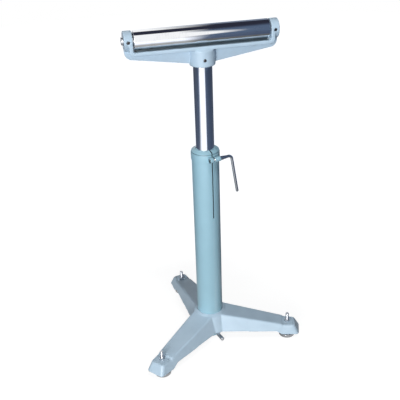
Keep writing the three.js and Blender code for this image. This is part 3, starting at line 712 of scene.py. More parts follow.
def paint_roller_shade(body):
    """Paint shade on the trough under the roller, full along its middle and fading out towards its edges."""
    floor_z = roller_z - ROLLER_RADIUS
    painted_roller_shade = body.data.attributes.new("painted_roller_shade", "FLOAT", "POINT")
    for mark, vert in zip(painted_roller_shade.data, body.data.vertices):
        inward = (TROUGH_EDGE - abs(vert.co.y)) / TROUGH_FADE
        if abs(vert.co.x) < TROUGH_REACH and floor_z - TROUGH_DEPTH < vert.co.z < floor_z:
            mark.value = TROUGH_SHADE * min(max(inward, 0.0), 1.0)


def cradle():
    """The cradle that holds the roller, bored for the post, the axle and the set screws."""
    body = casting("roller_cradle_casting", "roller_cradle", CRADLE_VOXEL)
    post_hole = rod(POST_RADIUS + SEAT_GAP, 2 * boss_bottom - post_top, post_top + SEAT_GAP, facets=LARGE)
    axle_hole = rod(AXLE_RADIUS + SEAT_GAP, *[2 * end for end in span("axle", X)], ALONG_ROLLER)
    screw_holes = []
    for node in SET_SCREWS:
        seat = set_screw_place(node, span(node, Y)[1])
        screw_holes.append(rod(SET_SCREW_RADIUS + SEAT_GAP, -2 * ROLLER_RADIUS, 0, seat))
    carve(body, "DIFFERENCE", post_hole, axle_hole, *screw_holes)
    # Painted shade in the trough under the roller
    paint_roller_shade(body)
    dress(body, "cast_paint", "post_head", "roller_cradle")


# Column and post

def slit():
    """The tool for the slit in the column and its bush, with a round lower end."""
    low = column_top - SLIT_LENGTH
    half = SLIT_WIDTH / 2
    tool = block((0, -half, low), (2 * COLUMN_RADIUS, half, bush_top + SLIT_WIDTH), CLAMP)
    end = CLAMP @ Matrix.Translation((0, 0, low)) @ Matrix.Rotation(QUARTER, 4, "Y")
    return carve(tool, "UNION", rod(half, 0, 2 * COLUMN_RADIUS, end, facets=FINE))


def paint_crevice_shade(obj, is_bare):
    """Mark faces of a painted piece for painted shade, as much as a test gives each of them."""
    unturned = CLAMP.inverted()
    marks = obj.data.attributes.new("bare", "FLOAT", "FACE")
    for mark, face in zip(marks.data, obj.data.polygons):
        mark.value = is_bare(unturned @ face.center, unturned.to_3x3() @ face.normal)


def in_slit(spot, normal):
    """Whether a face is a wall of the slit."""
    return spot.x > 0 and abs(spot.y) < SLIT_WIDTH / 2 + WELD and abs(normal.y) > FACING


def on_tube(spot, normal):
    """How much painted shade a face of the tube takes: the slit wholly, the joint between bush and band in
    part.
    """
    in_joint = spot.z > band_top and normal.z < FACING
    return max(in_slit(spot, normal), JOINT_SHADE * in_joint)


def in_screw_hole(spot, normal):
    """Whether a face is the wall of the countersunk hole through the clamp lugs."""
    away = math.hypot(spot.x - LUG_REACH, spot.z - lug_z)
    return away < COUNTERSINK_RADIUS and abs(normal.y) < FLAT_ON


def column_tube():
    """The outer tube, with broken edges, its slit and the hole for its pin."""
    tube = turned("column_outer_tube", [
        (COLUMN_BORE, column_bottom, 0.6),
        (COLUMN_RADIUS, column_bottom, 1.0),
        (COLUMN_RADIUS, band_top - WELD, 0),
        (COLUMN_RADIUS, column_top, 0.8),
        (COLUMN_BORE, column_top, 0.6),
    ], LARGE, CLAMP)
    pin_hole = rod(PIN_RADIUS + SEAT_GAP, -2 * COLUMN_RADIUS, 2 * COLUMN_RADIUS, ALONG_PIN)
    carve(tube, "DIFFERENCE", slit(), pin_hole)
    # Painted shade on the slit's walls and in the joint above the band
    paint_crevice_shade(tube, on_tube)
    dress(tube, "column_paint", "stand_base", "column_tube")


def column_bush():
    """The split bush, with a sloping flange on the tube's top."""
    bush = turned("column_split_bush", [
        (BUSH_BORE, bush_bottom, 0.5),
        (BUSH_SLEEVE, bush_bottom, 0.5),
        (BUSH_SLEEVE, bush_flange_z, 0),
        (BUSH_FLANGE, bush_flange_z, 0.3),
        (BUSH_FLANGE, bush_flange_z + BUSH_RIM_HEIGHT, 0.5),
        (BUSH_MOUTH, bush_top, 0.6),
        (BUSH_BORE, bush_top, 0.5),
    ], LARGE, CLAMP)
    carve(bush, "DIFFERENCE", slit())
    # Painted shade on the slit's walls
    paint_crevice_shade(bush, in_slit)
    dress(bush, "column_paint", "stand_base", "column_bush")


def column_pin():
    """The pin across the tube's lower end."""
    low, high = reach("column_pin", ALONG_PIN)
    pin = turned("column_cross_pin", [
        (0, low, 0),
        (PIN_RADIUS, low, 1.4),
        (PIN_RADIUS, high, 2.2),
        (0, high, 0),
    ], SMALL, ALONG_PIN)
    pin.data.materials.append(FINISHES["dull_zinc"])
    dress(pin, "zinc", "stand_base", "column_pin")


def post_tube():
    """The chromed inner tube, grooved for its guide ring."""
    ring_low, ring_high = span("post_guide_ring", Z)
    tube = turned("post_inner_tube", [
        (POST_BORE, post_bottom, 0.5),
        (POST_RADIUS, post_bottom, 0.8),
        (POST_RADIUS, ring_low - SEAT_GAP, 0.1),
        (GUIDE_GROOVE, ring_low - SEAT_GAP, 0.1),
        (GUIDE_GROOVE, ring_high + SEAT_GAP, 0.1),
        (POST_RADIUS, ring_high + SEAT_GAP, 0.1),
        (POST_RADIUS, post_top, 0.8),
        (POST_BORE, post_top, 0.5),
    ], LARGE)
    dress(tube, "chrome", "post_head", "post_tube")


def post_guide():
    """The ring that guides the post's lower end in the column."""
    low, high = span("post_guide_ring", Z)
    outer = span("post_guide_ring", X)[1]
    guide = turned("post_guide", ring(GUIDE_GROOVE + SEAT_GAP, outer, low, high, 0.3, 1.2), LARGE)
    dress(guide, "nylon", "post_guide", "post_guide_ring")


# Clamp

def lever_tree():
    """A bar swept along a bent path: a tapered hub, a round bar and a rounded tip."""
    tree, given, result = node_group("bent_bar", "GeometryNodeTree", {
        "Path": "Geometry", "Hub Radius": "Float", "Hub Length": "Float", "Bar Radius": "Float",
        "Bend Radius": "Float", "Step": "Float", "Finish": "Material",
    }, {"Bar": "Geometry"})
    line = shaped(tree, "MeshToCurve", {"Mesh": given["Path"]})
    bent = shaped(tree, "FilletCurve", {
        "Curve": line, "Radius": given["Bend Radius"], "Count": BEND_STEPS, "Limit Radius": True,
    }, mode="POLY")
    fine = shaped(tree, "ResampleCurve", {"Curve": bent, "Length": given["Step"]}, mode="LENGTH")
    along = add(tree, "GeometryNodeSplineParameter").outputs["Length"]
    whole = shaped(tree, "SplineLength")
    taper = add(tree, "ShaderNodeMapRange", {
        "Value": along, "From Min": 0.0, "From Max": given["Hub Length"],
        "To Min": given["Hub Radius"], "To Max": given["Bar Radius"],
    }).outputs[0]
    left = calc(tree, "MINIMUM", calc(tree, "SUBTRACT", whole, along), given["Bar Radius"])
    inward = calc(tree, "SUBTRACT", 1.0, calc(tree, "DIVIDE", left, given["Bar Radius"]))
    dome = calc(tree, "SQRT", calc(tree, "SUBTRACT", 1.0, calc(tree, "MULTIPLY", inward, inward)))
    start = calc(tree, "MINIMUM", calc(tree, "MULTIPLY_ADD", along, LEVER_END_SLOPE, LEVER_END_WIDTH), 1.0)
    ends = calc(tree, "MULTIPLY", dome, start)
    width = calc(tree, "MAXIMUM", calc(tree, "MULTIPLY", taper, ends), LEVER_TIP_WIDTH)
    section = shaped(tree, "CurvePrimitiveCircle", {"Resolution": LEVER_FACETS, "Radius": 1.0})
    swept = shaped(tree, "CurveToMesh", {
        "Curve": fine, "Profile Curve": section, "Scale": width, "Fill Caps": True,
    })
    return finished(tree, result["Bar"], swept, given["Finish"])


LEVER = lever_tree()


def path(name, *points):
    """A row of points joined in a line, for a Geometry Nodes tree to start from."""
    bm = bmesh.new()
    verts = [bm.verts.new(point) for point in points]
    for first, second in zip(verts, verts[1:]):
        bm.edges.new((first, second))
    return piece(name, bm)


def clamp_band():
    """The band round the column's top, with a lug on each side of its opening."""
    half = BAND_OPENING / 2
    left_end = -half - THREADED_LUG_LENGTH
    right_end = half + PLAIN_LUG_LENGTH
    outline = ring(HUB_BORE - OVERRUN, BAND_RADIUS, band_bottom, band_top, outer_edge=0.4)
    band = turned("clamp_lug_band", outline, LARGE, CLAMP)
    for low, high in ((left_end, -half), (half, right_end)):
        lug = turned("lug", ring(0, LUG_RADIUS, low, high, outer_edge=0.8), MEDIUM, ALONG_CLAMP)
        neck_half = LUG_RADIUS - NECK_INSET
        neck = block(
            (HUB_BORE - 4 * OVERRUN, low + NECK_INSET, lug_z - neck_half),
            (LUG_REACH, high - NECK_INSET, lug_z + neck_half), CLAMP,
        )
        carve(band, "UNION", lug, neck)
    under, over = band_bottom - OVERRUN, band_top + OVERRUN
    opening = block((0, -half, under), (2 * LUG_REACH, half, over), CLAMP)
    screw_hole = rod(CLAMP_SCREW_HOLE, 2 * left_end, 2 * right_end, ALONG_CLAMP)
    countersink = turned("countersink", [
        (0, left_end - WELD, 0),
        (COUNTERSINK_RADIUS, left_end - WELD, 0),
        (CLAMP_SCREW_RADIUS, left_end + COUNTERSINK_DEPTH, 0),
        (0, left_end + COUNTERSINK_DEPTH, 0),
    ], MEDIUM, ALONG_CLAMP)
    bore = rod(HUB_BORE, under, over, CLAMP, LARGE)
    carve(band, "DIFFERENCE", opening, screw_hole, countersink, bore)
    # Painted shade on the wall of the countersunk hole
    paint_crevice_shade(band, in_screw_hole)
    dress(band, "column_paint", "stand_base", "clamp_band")


def clamp_spacer():
    """The sleeve between the plain lug and the lever."""
    low, high = reach("clamp_spacer", ALONG_CLAMP)
    spacer = turned("clamp_spacer_sleeve", ring(CLAMP_SCREW_HOLE, LUG_RADIUS, low, high, 0.3, 0.8), MEDIUM)
    dress(spacer, "column_paint", "stand_base", "clamp_spacer", place=ALONG_CLAMP)


def clamp_screw():
    """The screw through the lugs, whose end is sunk in the threaded one."""
    low, high = reach("clamp_screw", ALONG_CLAMP)
    low = max(low, CLAMP_SCREW_SUNK - BAND_OPENING / 2 - THREADED_LUG_LENGTH)
    screw = threaded_rod("clamp_screw_thread", CLAMP_SCREW_RADIUS, high - low, CLAMP_THREAD, "zinc")
    lift = Matrix.Translation((0, 0, low))
    dress(screw, "zinc", "clamp_handle", "clamp_screw", place=ALONG_CLAMP @ lift)


def clamp_lever():
    """The tapered hub and bent bar that turn the screw."""
    hub_end = reach("clamp_lever", ALONG_CLAMP)[0]
    screw_end = reach("clamp_screw", ALONG_CLAMP)[1]
    hub = Vector((LUG_REACH, hub_end, lug_z))
    elbow = hub + Vector((0, LEVER_REACH, 0))
    tip = elbow + Vector((0, LEVER_SPLAY, -LEVER_DROP))
    tip += (tip - elbow).normalized() * LEVER_ROD_RADIUS
    lever = grown(
        path("clamp_bent_lever", hub, elbow, tip), LEVER, Hub_Radius=LEVER_HUB_RADIUS,
        Hub_Length=LEVER_HUB_LENGTH, Bar_Radius=LEVER_ROD_RADIUS, Bend_Radius=LEVER_BEND, Step=LEVER_STEP,
        Finish=FINISHES["zinc"],
    )
    faced_outward(lever)
    lever.data.transform(CLAMP)
    carve(lever, "DIFFERENCE", rod(CLAMP_SCREW_HOLE, 0, screw_end + SEAT_GAP, ALONG_CLAMP))
    dress(lever, "zinc", "clamp_handle", "clamp_lever")


# Threads and fasteners

def thread_tree():
    """A threaded rod up from Z = 0: a sheet wrapped round Z, with a groove that climbs as it turns."""
    tree, given, result = node_group("threaded_rod", "GeometryNodeTree", {
        "Start": "Geometry", "Radius": "Float", "Length": "Float", "Pitch": "Float", "Depth": "Float",
        "Lead In": "Float", "Finish": "Material",
    }, {"Rod": "Geometry"})
    turns = calc(tree, "DIVIDE", given["Length"], given["Pitch"])
    rows = calc(tree, "MULTIPLY_ADD", turns, ROWS_PER_TURN, 1.0)
    sheet = shaped(tree, "MeshGrid", {
        "Size X": 1.0, "Size Y": 1.0, "Vertices X": FINE + 1, "Vertices Y": rows,
    })
    spot = add(tree, "ShaderNodeSeparateXYZ", {0: shaped(tree, "InputPosition")}).outputs
    round_by = calc(tree, "ADD", spot["X"], 0.5)
    angle = calc(tree, "MULTIPLY", round_by, 2 * math.pi)
    height = calc(tree, "MULTIPLY", calc(tree, "ADD", spot["Y"], 0.5), given["Length"])
    climb = calc(tree, "SUBTRACT", calc(tree, "DIVIDE", height, given["Pitch"]), round_by)
    groove = calc(tree, "MULTIPLY", calc(tree, "PINGPONG", climb, 0.5), 2.0)
    to_end = calc(tree, "MINIMUM", height, calc(tree, "SUBTRACT", given["Length"], height))
    cover = between(tree, to_end, 0.0, given["Lead In"])
    sunk = calc(tree, "SUBTRACT", 1.0, calc(tree, "MULTIPLY", cover, calc(tree, "SUBTRACT", 1.0, groove)))
    radius = calc(tree, "SUBTRACT", given["Radius"], calc(tree, "MULTIPLY", sunk, given["Depth"]))
    wrapped = add(tree, "ShaderNodeCombineXYZ", {
        "X": calc(tree, "MULTIPLY", radius, calc(tree, "COSINE", angle)),
        "Y": calc(tree, "MULTIPLY", radius, calc(tree, "SINE", angle)),
        "Z": height,
    }).outputs[0]
    skin = shaped(tree, "SetPosition", {"Geometry": sheet, "Position": wrapped})
    core = calc(tree, "SUBTRACT", given["Radius"], given["Depth"])
    cap = shaped(tree, "MeshCircle", {"Vertices": FINE, "Radius": core}, fill_type="NGON")
    lift = add(tree, "ShaderNodeCombineXYZ", {"Z": given["Length"]}).outputs[0]
    top = shaped(tree, "Transform", {"Geometry": cap, "Translation": lift})
    parts = joined(tree, skin, cap, top)
    closed = shaped(tree, "MergeByDistance", {"Geometry": parts, "Distance": WELD / 2})
    return finished(tree, result["Rod"], closed, given["Finish"])


THREAD = thread_tree()


def faced_outward(obj):
    """Turn the faces of a closed mesh outwards."""
    bm = bmesh.new()
    bm.from_mesh(obj.data)
    bmesh.ops.recalc_face_normals(bm, faces=bm.faces)
    bm.to_mesh(obj.data)
    bm.free()


def threaded_rod(name, radius, length, thread, finish):
    """A rod up from Z = 0, with the pitch, depth and lead-in of its thread."""
    start = path(name, (0, 0, 0))
    made = grown(start, THREAD, Radius=radius, Length=length, Finish=FINISHES[finish], **thread)
    faced_outward(made)
    return made


def stacked_tree():
    """One shape set on every point, turned and stretched by the point's own values."""
    tree, given, result = node_group("set_on_points", "GeometryNodeTree", {
        "Points": "Geometry", "Shape": "Object", "Finish": "Material",
    }, {"Row": "Geometry"})
    shape = add(tree, "GeometryNodeObjectInfo", {"Object": given["Shape"]}).outputs["Geometry"]
    turn, stretch = [
        shaped(tree, "InputNamedAttribute", {"Name": name}, data_type="FLOAT_VECTOR")
        for name in ("turn", "stretch")
    ]
    row = shaped(tree, "InstanceOnPoints", {
        "Points": given["Points"], "Instance": shape, "Rotation": turn, "Scale": stretch,
    })
    return finished(tree, result["Row"], row, given["Finish"])


STACKED = stacked_tree()


def stacked(name, shape, spots, finish):
    """Set a shape on spots of (place, turn, stretch), as one piece."""
    bm = bmesh.new()
    for spot in spots:
        bm.verts.new(spot[0])
    row = piece(name, bm)
    for label, which in (("turn", 1), ("stretch", 2)):
        values = row.data.attributes.new(label, "FLOAT_VECTOR", "POINT")
        for item, spot in zip(values.data, spots):
            item.vector = spot[which]
    grown(row, STACKED, Shape=shape, Finish=finish)
    bpy.data.objects.remove(shape)
    return row


def lock_nuts():
    """A hexagon nut with chamfered corners on each pad."""
    low, high = span("foot_lock_nut_right", Z)
    height = high - low
    flat = NUT_RADIUS * math.cos(math.pi / HEXAGON)
    slope = (NUT_RADIUS - flat) * NUT_CHAMFER_SLOPE
    nut = turned("nut", ring(0, NUT_RADIUS, 0, height), HEXAGON)
    blank = turned("blank", [
        (0, 0, 0),
        (flat - NUT_CHAMFER_INSET, 0, 0),
        (NUT_RADIUS + NUT_CHAMFER_INSET / 2, slope, 0),
        (NUT_RADIUS + NUT_CHAMFER_INSET / 2, height - slope, 0),
        (flat - NUT_CHAMFER_INSET, height, 0),
        (0, height, 0),
    ], MEDIUM)
    carve(nut, "INTERSECT", blank)
    mouth = STUD_HOLE + NUT_MOUTH
    carve(nut, "DIFFERENCE", turned("hole", [
        (0, -OVERRUN, 0),
        (mouth, -OVERRUN, 0),
        (STUD_HOLE, NUT_MOUTH_DEPTH, 0),
        (STUD_HOLE, height - NUT_MOUTH_DEPTH, 0),
        (mouth, height + OVERRUN, 0),
        (0, height + OVERRUN, 0),
    ], SMALL))
    seat = Vector((0, 0, low))
    spots = [(spot + seat, (0, 0, turn), (1, 1, 1)) for spot, turn in zip(FEET.values(), NUT_TURNS)]
    nuts = stacked("foot_lock_nuts", nut, spots, FINISHES["dull_zinc"])
    dress(nuts, "zinc", "stand_base", *["foot_lock_nut_" + name for name in FEET])


def set_screw_place(node, depth):
    """Where a set screw's own Z axis lies: into the casting along Y, from a depth on it."""
    spot = (sum(span(node, X)) / 2, depth, sum(span(node, Z)) / 2)
    return Matrix.Translation(spot) @ Matrix.Rotation(-QUARTER, 4, "X")


def set_screws():
    """Socket set screws with chamfered ends: one drawing, stretched to the length of each."""
    end_radius = SET_SCREW_RADIUS - SET_SCREW_CHAMFER
    screw = turned("screw", [
        (0, 0, 0),
        (end_radius, 0, 0),
        (SET_SCREW_RADIUS, SET_SCREW_CHAMFER, 0.2),
        (SET_SCREW_RADIUS, SET_SCREW_DRAWN - SET_SCREW_CHAMFER, 0.2),
        (end_radius, SET_SCREW_DRAWN, 0),
        (0, SET_SCREW_DRAWN, 0),
    ], SMALL)
    carve(screw, "DIFFERENCE", rod(SET_SCREW_SOCKET, -OVERRUN, SET_SCREW_SOCKET_DEPTH, facets=HEXAGON))
    spots = []
    for node in SET_SCREWS:
        head, seat = span(node, Y)
        place = set_screw_place(node, head).to_translation()
        spots.append((place, (-QUARTER, 0, 0), (1, 1, (seat - head) / SET_SCREW_DRAWN)))
    screws = stacked("socket_set_screws", screw, spots, FINISHES["black_oxide"])
    dress(screws, "black_oxide", "post_head", *SET_SCREWS)


# Levelling feet

def foot_disc(name, spot):
    """A turned disc that stands on the floor."""
    top = span("foot_disc_" + name, Z)[1]
    socket_floor = top - FOOT_SOCKET_DEPTH
    rim = FOOT_RADIUS - FOOT_RECESS_RIM
    disc = turned("foot_turned_disc_" + name, [
        (0, FOOT_RECESS_DEPTH, 0),
        (rim - FOOT_RECESS_SLOPE, FOOT_RECESS_DEPTH, 0),
        (rim, 0, 0.3),
        (FOOT_RADIUS, 0, 1.0),
        (FOOT_RADIUS, FOOT_RIM_HEIGHT, 0.8),
        (FOOT_CROWN, top, 1.2),
        (STUD_HOLE, top, 0.4),
        (STUD_HOLE, socket_floor, 0),
        (0, socket_floor, 0),
    ], LARGE)
    dress(disc, "bright_steel", "foot_" + name, "foot_disc_" + name, place=Matrix.Translation(spot))


def foot_stud(name, spot):
    """The threaded stud from a disc up through its pad."""
    low, high = span("foot_stud_" + name, Z)
    stud = threaded_rod("foot_threaded_stud_" + name, STUD_RADIUS, high - low, STUD_THREAD, "dull_zinc")
    place = Matrix.Translation(spot + Vector((0, 0, low)))
    dress(stud, "zinc", "stud_" + name, "foot_stud_" + name, place=place)


# Roller, axle and bearings

def roller():
    """The chromed tube, bored at both ends for its bearings and grooved for their rings."""
    end = span("roller_tube", X)[1]
    seat_end = span("bearing_outer_race_right", X)[0] - SEAT_GAP
    groove_low, groove_high = span("retaining_ring_right", X)
    half = [
        (ROLLER_SEAT, end, 0.6),
        (ROLLER_SEAT, groove_high + RETAINER_PLAY, 0),
        (RETAINER_GROOVE, groove_high + RETAINER_PLAY, 0),
        (RETAINER_GROOVE, groove_low - RETAINER_PLAY, 0),
        (ROLLER_SEAT, groove_low - RETAINER_PLAY, 0),
        (ROLLER_SEAT, seat_end, 0),
        (ROLLER_BORE, seat_end, 0),
    ]
    face = [(ROLLER_RADIUS, -end, 1.1), (ROLLER_RADIUS, end, 1.1)]
    tube = turned("roller_chromed_tube", face + half + other_end(half), LARGE)
    dress(tube, "chrome", "roller", "roller_tube", place=ALONG_ROLLER)


def axle():
    """The fixed axle, with chamfered ends and the centre marks of its turning."""
    end = span("axle", X)[1]
    half = [
        (AXLE_RADIUS, end, 1.2),
        (CENTRE_MARK, end, 0.2),
        (CENTRE_PILOT, end - CENTRE_MARK, 0),
        (0, end - CENTRE_MARK - CENTRE_PILOT_DEPTH, 0),
    ]
    bar = turned("roller_axle", other_end(half) + half, MEDIUM)
    dress(bar, "bright_steel", "post_head", "axle", place=ALONG_ROLLER)


def ring_along_roller(name, node, body, bore, outer, edge):
    """A plain turned ring on the roller's axis, in the place of a node."""
    low, high = span(node, X)
    plain_ring = turned(name, ring(bore, outer, low, high, edge, edge), LARGE)
    dress(plain_ring, "bright_steel", body, node, place=ALONG_ROLLER)


def ball_cage_tree():
    """Balls set evenly round a circle, joined to the ring that keeps them apart."""
    tree, given, result = node_group("ball_cage", "GeometryNodeTree", {
        "Ring": "Geometry", "Balls": "Int", "Circle Radius": "Float", "Ball Radius": "Float",
        "Middle": "Vector", "Finish": "Material",
    }, {"Cage": "Geometry"})
    circle = shaped(tree, "MeshCircle", {"Vertices": given["Balls"], "Radius": given["Circle Radius"]})
    moved = shaped(tree, "Transform", {"Geometry": circle, "Translation": given["Middle"]})
    ball = shaped(tree, "MeshUVSphere", {
        "Segments": FINE, "Rings": BALL_RINGS, "Radius": given["Ball Radius"],
    })
    balls = shaped(tree, "InstanceOnPoints", {"Points": moved, "Instance": ball})
    return finished(tree, result["Cage"], joined(tree, given["Ring"], balls), given["Finish"])


BALL_CAGE = ball_cage_tree()


def bearing_rings(side):
    """The races, the retaining ring and the spacer at one end of the roller."""
    inner_face = BALL_CIRCLE - BALL_RADIUS - SEAT_GAP
    outer_face = BALL_CIRCLE + BALL_RADIUS + SEAT_GAP
    ring_outer = RETAINER_GROOVE - SEAT_GAP
    spacer_outer = RACE_BORE + SPACER_WALL
    for label, body, bore, outer, edge in (
        ("bearing_inner_race_", "post_head", RACE_BORE, inner_face, 0.6),
        ("bearing_outer_race_", "roller", outer_face, RACE_OUTER, 0.6),
        ("retaining_ring_", "roller", ring_outer - RETAINER_DEPTH, ring_outer, 0.15),
        ("axle_spacer_", "post_head", RACE_BORE, spacer_outer, 0.5),
    ):
        ring_along_roller("turned_" + label + side, label + side, body, bore, outer, edge)


def ball_cage(side):
    """The balls of one bearing in their cage."""
    node = "bearing_ball_cage_" + side
    middle = sum(span(node, X)) / 2
    low, high = middle - CAGE_WIDTH / 2, middle + CAGE_WIDTH / 2
    bore, outer = BALL_CIRCLE - CAGE_THICKNESS / 2, BALL_CIRCLE + CAGE_THICKNESS / 2
    outline = ring(bore, outer, low, high, 0.4, 0.4)
    cage = grown(
        turned("turned_" + node, outline, LARGE), BALL_CAGE, Balls=BALL_COUNT, Circle_Radius=BALL_CIRCLE,
        Ball_Radius=BALL_RADIUS, Middle=(0.0, 0.0, middle), Finish=FINISHES["bright_steel"],
    )
    dress(cage, "bright_steel", "ball_cage_" + side, node, place=ALONG_ROLLER)


# Floor, light and camera

CAMERA_SPOT = Vector((-386.5, -1687.7, 1372.0))
CAMERA_YAW = math.radians(12.272)
CAMERA_PITCH = math.radians(27.706)
CAMERA_ROLL = math.radians(2.079)
CAMERA_LENS = 61.80
SENSOR_WIDTH = 36.0

# Lamp spots are in millimetres, lamp sizes in metres and powers in watts
LAMPS = {
    "key_light": {"spot": (-2347.0, -4415.0, 1400.0), "size": 2.8, "power": 248.0, "mirrored": True},
    "top_light": {"spot": (355.0, -2021.0, 5640.0), "size": 0.6, "power": 98.0, "mirrored": False},
    "back_light": {"spot": (6840.0, 18794.0, 1400.0), "size": 4.0, "power": 1400.0, "mirrored": False},
}
LAMP_TARGET = Vector((0.0, 0.0, 480.0))
FLOOR_RADIUS = 4500.0
FLOOR_FACETS = 96

# Where effects on the floor begin and where they are full, in metres from the column's axis
PAPER_EDGE = (0.70, 1.20)
SHADE_EDGE = (0.30, 0.75)
FEET_INNER_EDGE = (0.20, 0.235)
FEET_OUTER_EDGE = (0.36, 0.31)
DIM_EDGE = (1.4, 0.7)

# The height that the mirrored floor is reckoned from, in metres
EYE_HEIGHT = 0.75

# Bounds of what is mirrored, on the unit way to it: where it begins to show and where it shows in full
IN_FRONT = (0.06, 0.0)
BEHIND = (0.0, 0.06)
SCREEN_LEFT = (-0.90, -0.72)
SCREEN_RIGHT = (0.24, 0.14)
SCREEN_TOP = (0.93, 0.90)
BULGE_BOTTOM = (0.0, 0.2)
BULGE_TOP = (0.75, 0.45)
REAR_SCREEN_LEFT = (-0.36, -0.22)
REAR_SCREEN_RIGHT = (0.24, 0.10)
ROOM_TOP = (0.92, 0.70)
BACKDROP_TOP = (0.72, 0.6)

# How far the front screen's right edge bulges, on the same way
SCREEN_BULGE = 0.13

# Levels and colours of the floor and the room
SHADE_LEVEL = 0.89
FEET_LEVEL = 0.4
BEHIND_LEVEL = 0.02
DIMMING = 0.75
PAPER_ROUGHNESS = 0.9
WHITE = (1, 1, 1, 1)
PAPER = (0.20, 0.20, 0.20, 1)
FAR_FLOOR = (0.09, 0.13, 0.22, 1)
CEILING = (0.025, 0.027, 0.045, 1)
ROOM = (0.09, 0.13, 0.21, 1)
BACKDROP = (0.20, 0.24, 0.32, 1)
AMBIENT = (0.06, 0.064, 0.07, 1)


def set_camera():
    """A camera where the photograph was taken from."""
    data = bpy.data.cameras.new("camera")
    data.sensor_fit = "HORIZONTAL"
    data.sensor_width = SENSOR_WIDTH
    data.lens = CAMERA_LENS
    camera = bpy.data.objects.new("camera", data)
    bpy.context.collection.objects.link(camera)
    aim = Matrix.Rotation(-CAMERA_YAW, 4, "Z") @ Matrix.Rotation(QUARTER - CAMERA_PITCH, 4, "X")
    roll = Matrix.Rotation(-CAMERA_ROLL, 4, "Z")
    camera.matrix_world = Matrix.Translation(FRAME @ CAMERA_SPOT) @ aim @ roll
    bpy.context.scene.camera = camera


def set_lamps():
    """A broad lamp left of the camera, a small one high in front of the stand and a far one behind it."""
    for name, lamp in LAMPS.items():
        data = bpy.data.lights.new(name, "AREA")
        data.size = lamp["size"]
        data.energy = lamp["power"]
        light = bpy.data.objects.new(name, data)
        light.visible_glossy = lamp["mirrored"]
        bpy.context.scene.collection.objects.link(light)
        spot = FRAME @ Vector(lamp["spot"])
        aim = (FRAME @ LAMP_TARGET - spot).to_track_quat("-Z", "Y")
        light.matrix_world = Matrix.Translation(spot) @ aim.to_matrix().to_4x4()


def screen_group():
    """The white screens before and behind the stand that its bright metal mirrors, by the way to them."""
    tree, given, result = node_group("white_screen", "ShaderNodeTree", {"Way": "Vector"}, {"Screen": "Float"})
    x, y, z = add(tree, "ShaderNodeSeparateXYZ", {0: given["Way"]}).outputs
    bulge = inside(tree, (z, BULGE_BOTTOM), (z, BULGE_TOP))
    sideways = calc(tree, "MULTIPLY_ADD", bulge, -SCREEN_BULGE, x)
    front = inside(tree, (y, IN_FRONT), (x, SCREEN_LEFT), (sideways, SCREEN_RIGHT), (z, SCREEN_TOP))
    rear = inside(tree, (y, BEHIND), (x, REAR_SCREEN_LEFT), (x, REAR_SCREEN_RIGHT), (z, SCREEN_TOP))
    feed(tree, result["Screen"], calc(tree, "ADD", front, rear))
    return tree


WHITE_SCREEN = screen_group()


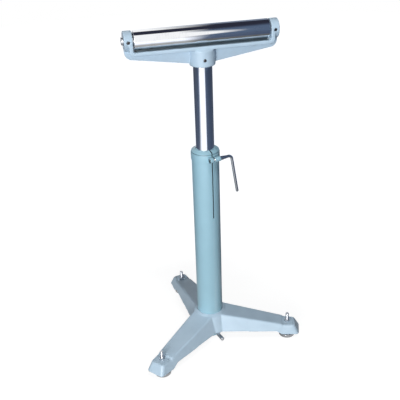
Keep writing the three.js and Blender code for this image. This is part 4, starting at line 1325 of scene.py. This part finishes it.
def floor_paper():
    """Paper that keeps the shadow, and is brightest to a mirror where it sweeps towards the camera."""
    material, tree, shader = new_material("floor_paper")
    place = add(tree, "ShaderNodeTexCoord").outputs["Object"]
    axis = FRAME.to_translation()
    away = vector_calc(tree, "LENGTH", vector_calc(tree, "SUBTRACT", place, axis)[0])["Value"]
    eye = axis + Vector((0, 0, EYE_HEIGHT))
    way = vector_calc(tree, "NORMALIZE", vector_calc(tree, "SUBTRACT", place, eye)[0])[0]
    screen = effect(tree, WHITE_SCREEN, Way=way)["Screen"]
    dim = calc(tree, "MULTIPLY_ADD", between(tree, away, *DIM_EDGE), -DIMMING, 1.0)
    depth = add(tree, "ShaderNodeSeparateXYZ", {0: way}).outputs["Y"]
    behind = calc(tree, "MULTIPLY", between(tree, depth, *BEHIND), BEHIND_LEVEL)
    swept = calc(tree, "MULTIPLY_ADD", screen, dim, behind)
    by_feet = inside(tree, (away, FEET_INNER_EDGE), (away, FEET_OUTER_EDGE))
    mirrored = calc(tree, "MAXIMUM", swept, calc(tree, "MULTIPLY", by_feet, FEET_LEVEL))
    plain = calc(tree, "MULTIPLY_ADD", between(tree, away, *SHADE_EDGE), 1.0 - SHADE_LEVEL, SHADE_LEVEL)
    rays = add(tree, "ShaderNodeLightPath").outputs
    to_camera = calc(tree, "MULTIPLY", rays["Is Camera Ray"], plain)
    level = calc(tree, "MULTIPLY_ADD", rays["Is Glossy Ray"], mirrored, to_camera)
    tone = blend(tree, between(tree, away, *PAPER_EDGE), PAPER, FAR_FLOOR)
    feed(tree, shader.inputs["Base Color"], tone)
    feed(tree, shader.inputs["Emission Strength"], level)
    shader.inputs["Roughness"].default_value = PAPER_ROUGHNESS
    shader.inputs["Emission Color"].default_value = WHITE
    return material


def set_floor():
    """A round floor under the stand, as scenery."""
    bm = bmesh.new()
    bmesh.ops.create_circle(bm, cap_ends=True, segments=FLOOR_FACETS, radius=FLOOR_RADIUS)
    bm.transform(FRAME)
    floor = piece("studio_floor", bm)
    floor.data.materials.append(floor_paper())


def set_world():
    """White behind the stand, soft light all round it, and a studio for the chrome to mirror."""
    world = bpy.data.worlds.new("studio")
    world.use_nodes = True
    bpy.context.scene.world = world
    tree = world.node_tree
    rays = add(tree, "ShaderNodeLightPath").outputs
    direction = add(tree, "ShaderNodeTexCoord").outputs["Generated"]
    way = add(tree, "ShaderNodeSeparateXYZ", {0: direction}).outputs
    screen = effect(tree, WHITE_SCREEN, Way=direction)["Screen"]
    room = blend(tree, inside(tree, (way["Y"], IN_FRONT), (way["Z"], ROOM_TOP)), CEILING, ROOM)
    walls = blend(tree, inside(tree, (way["Y"], BEHIND), (way["Z"], BACKDROP_TOP)), room, BACKDROP)
    mirrored = blend(tree, screen, walls, WHITE)
    around = blend(tree, rays["Is Glossy Ray"], AMBIENT, mirrored)
    seen = blend(tree, rays["Is Camera Ray"], around, WHITE)
    feed(tree, tree.nodes["Background"].inputs["Color"], seen)


base()
cradle()
column_tube()
column_bush()
column_pin()
post_tube()
post_guide()
clamp_band()
clamp_spacer()
clamp_screw()
clamp_lever()
lock_nuts()
set_screws()
for foot_name, foot_spot in FEET.items():
    foot_disc(foot_name, foot_spot)
    foot_stud(foot_name, foot_spot)
roller()
axle()
for side_name in ("left", "right"):
    bearing_rings(side_name)
    ball_cage(side_name)

bpy.context.scene.view_settings.view_transform = "Standard"
set_camera()
set_lamps()
set_floor()
set_world()
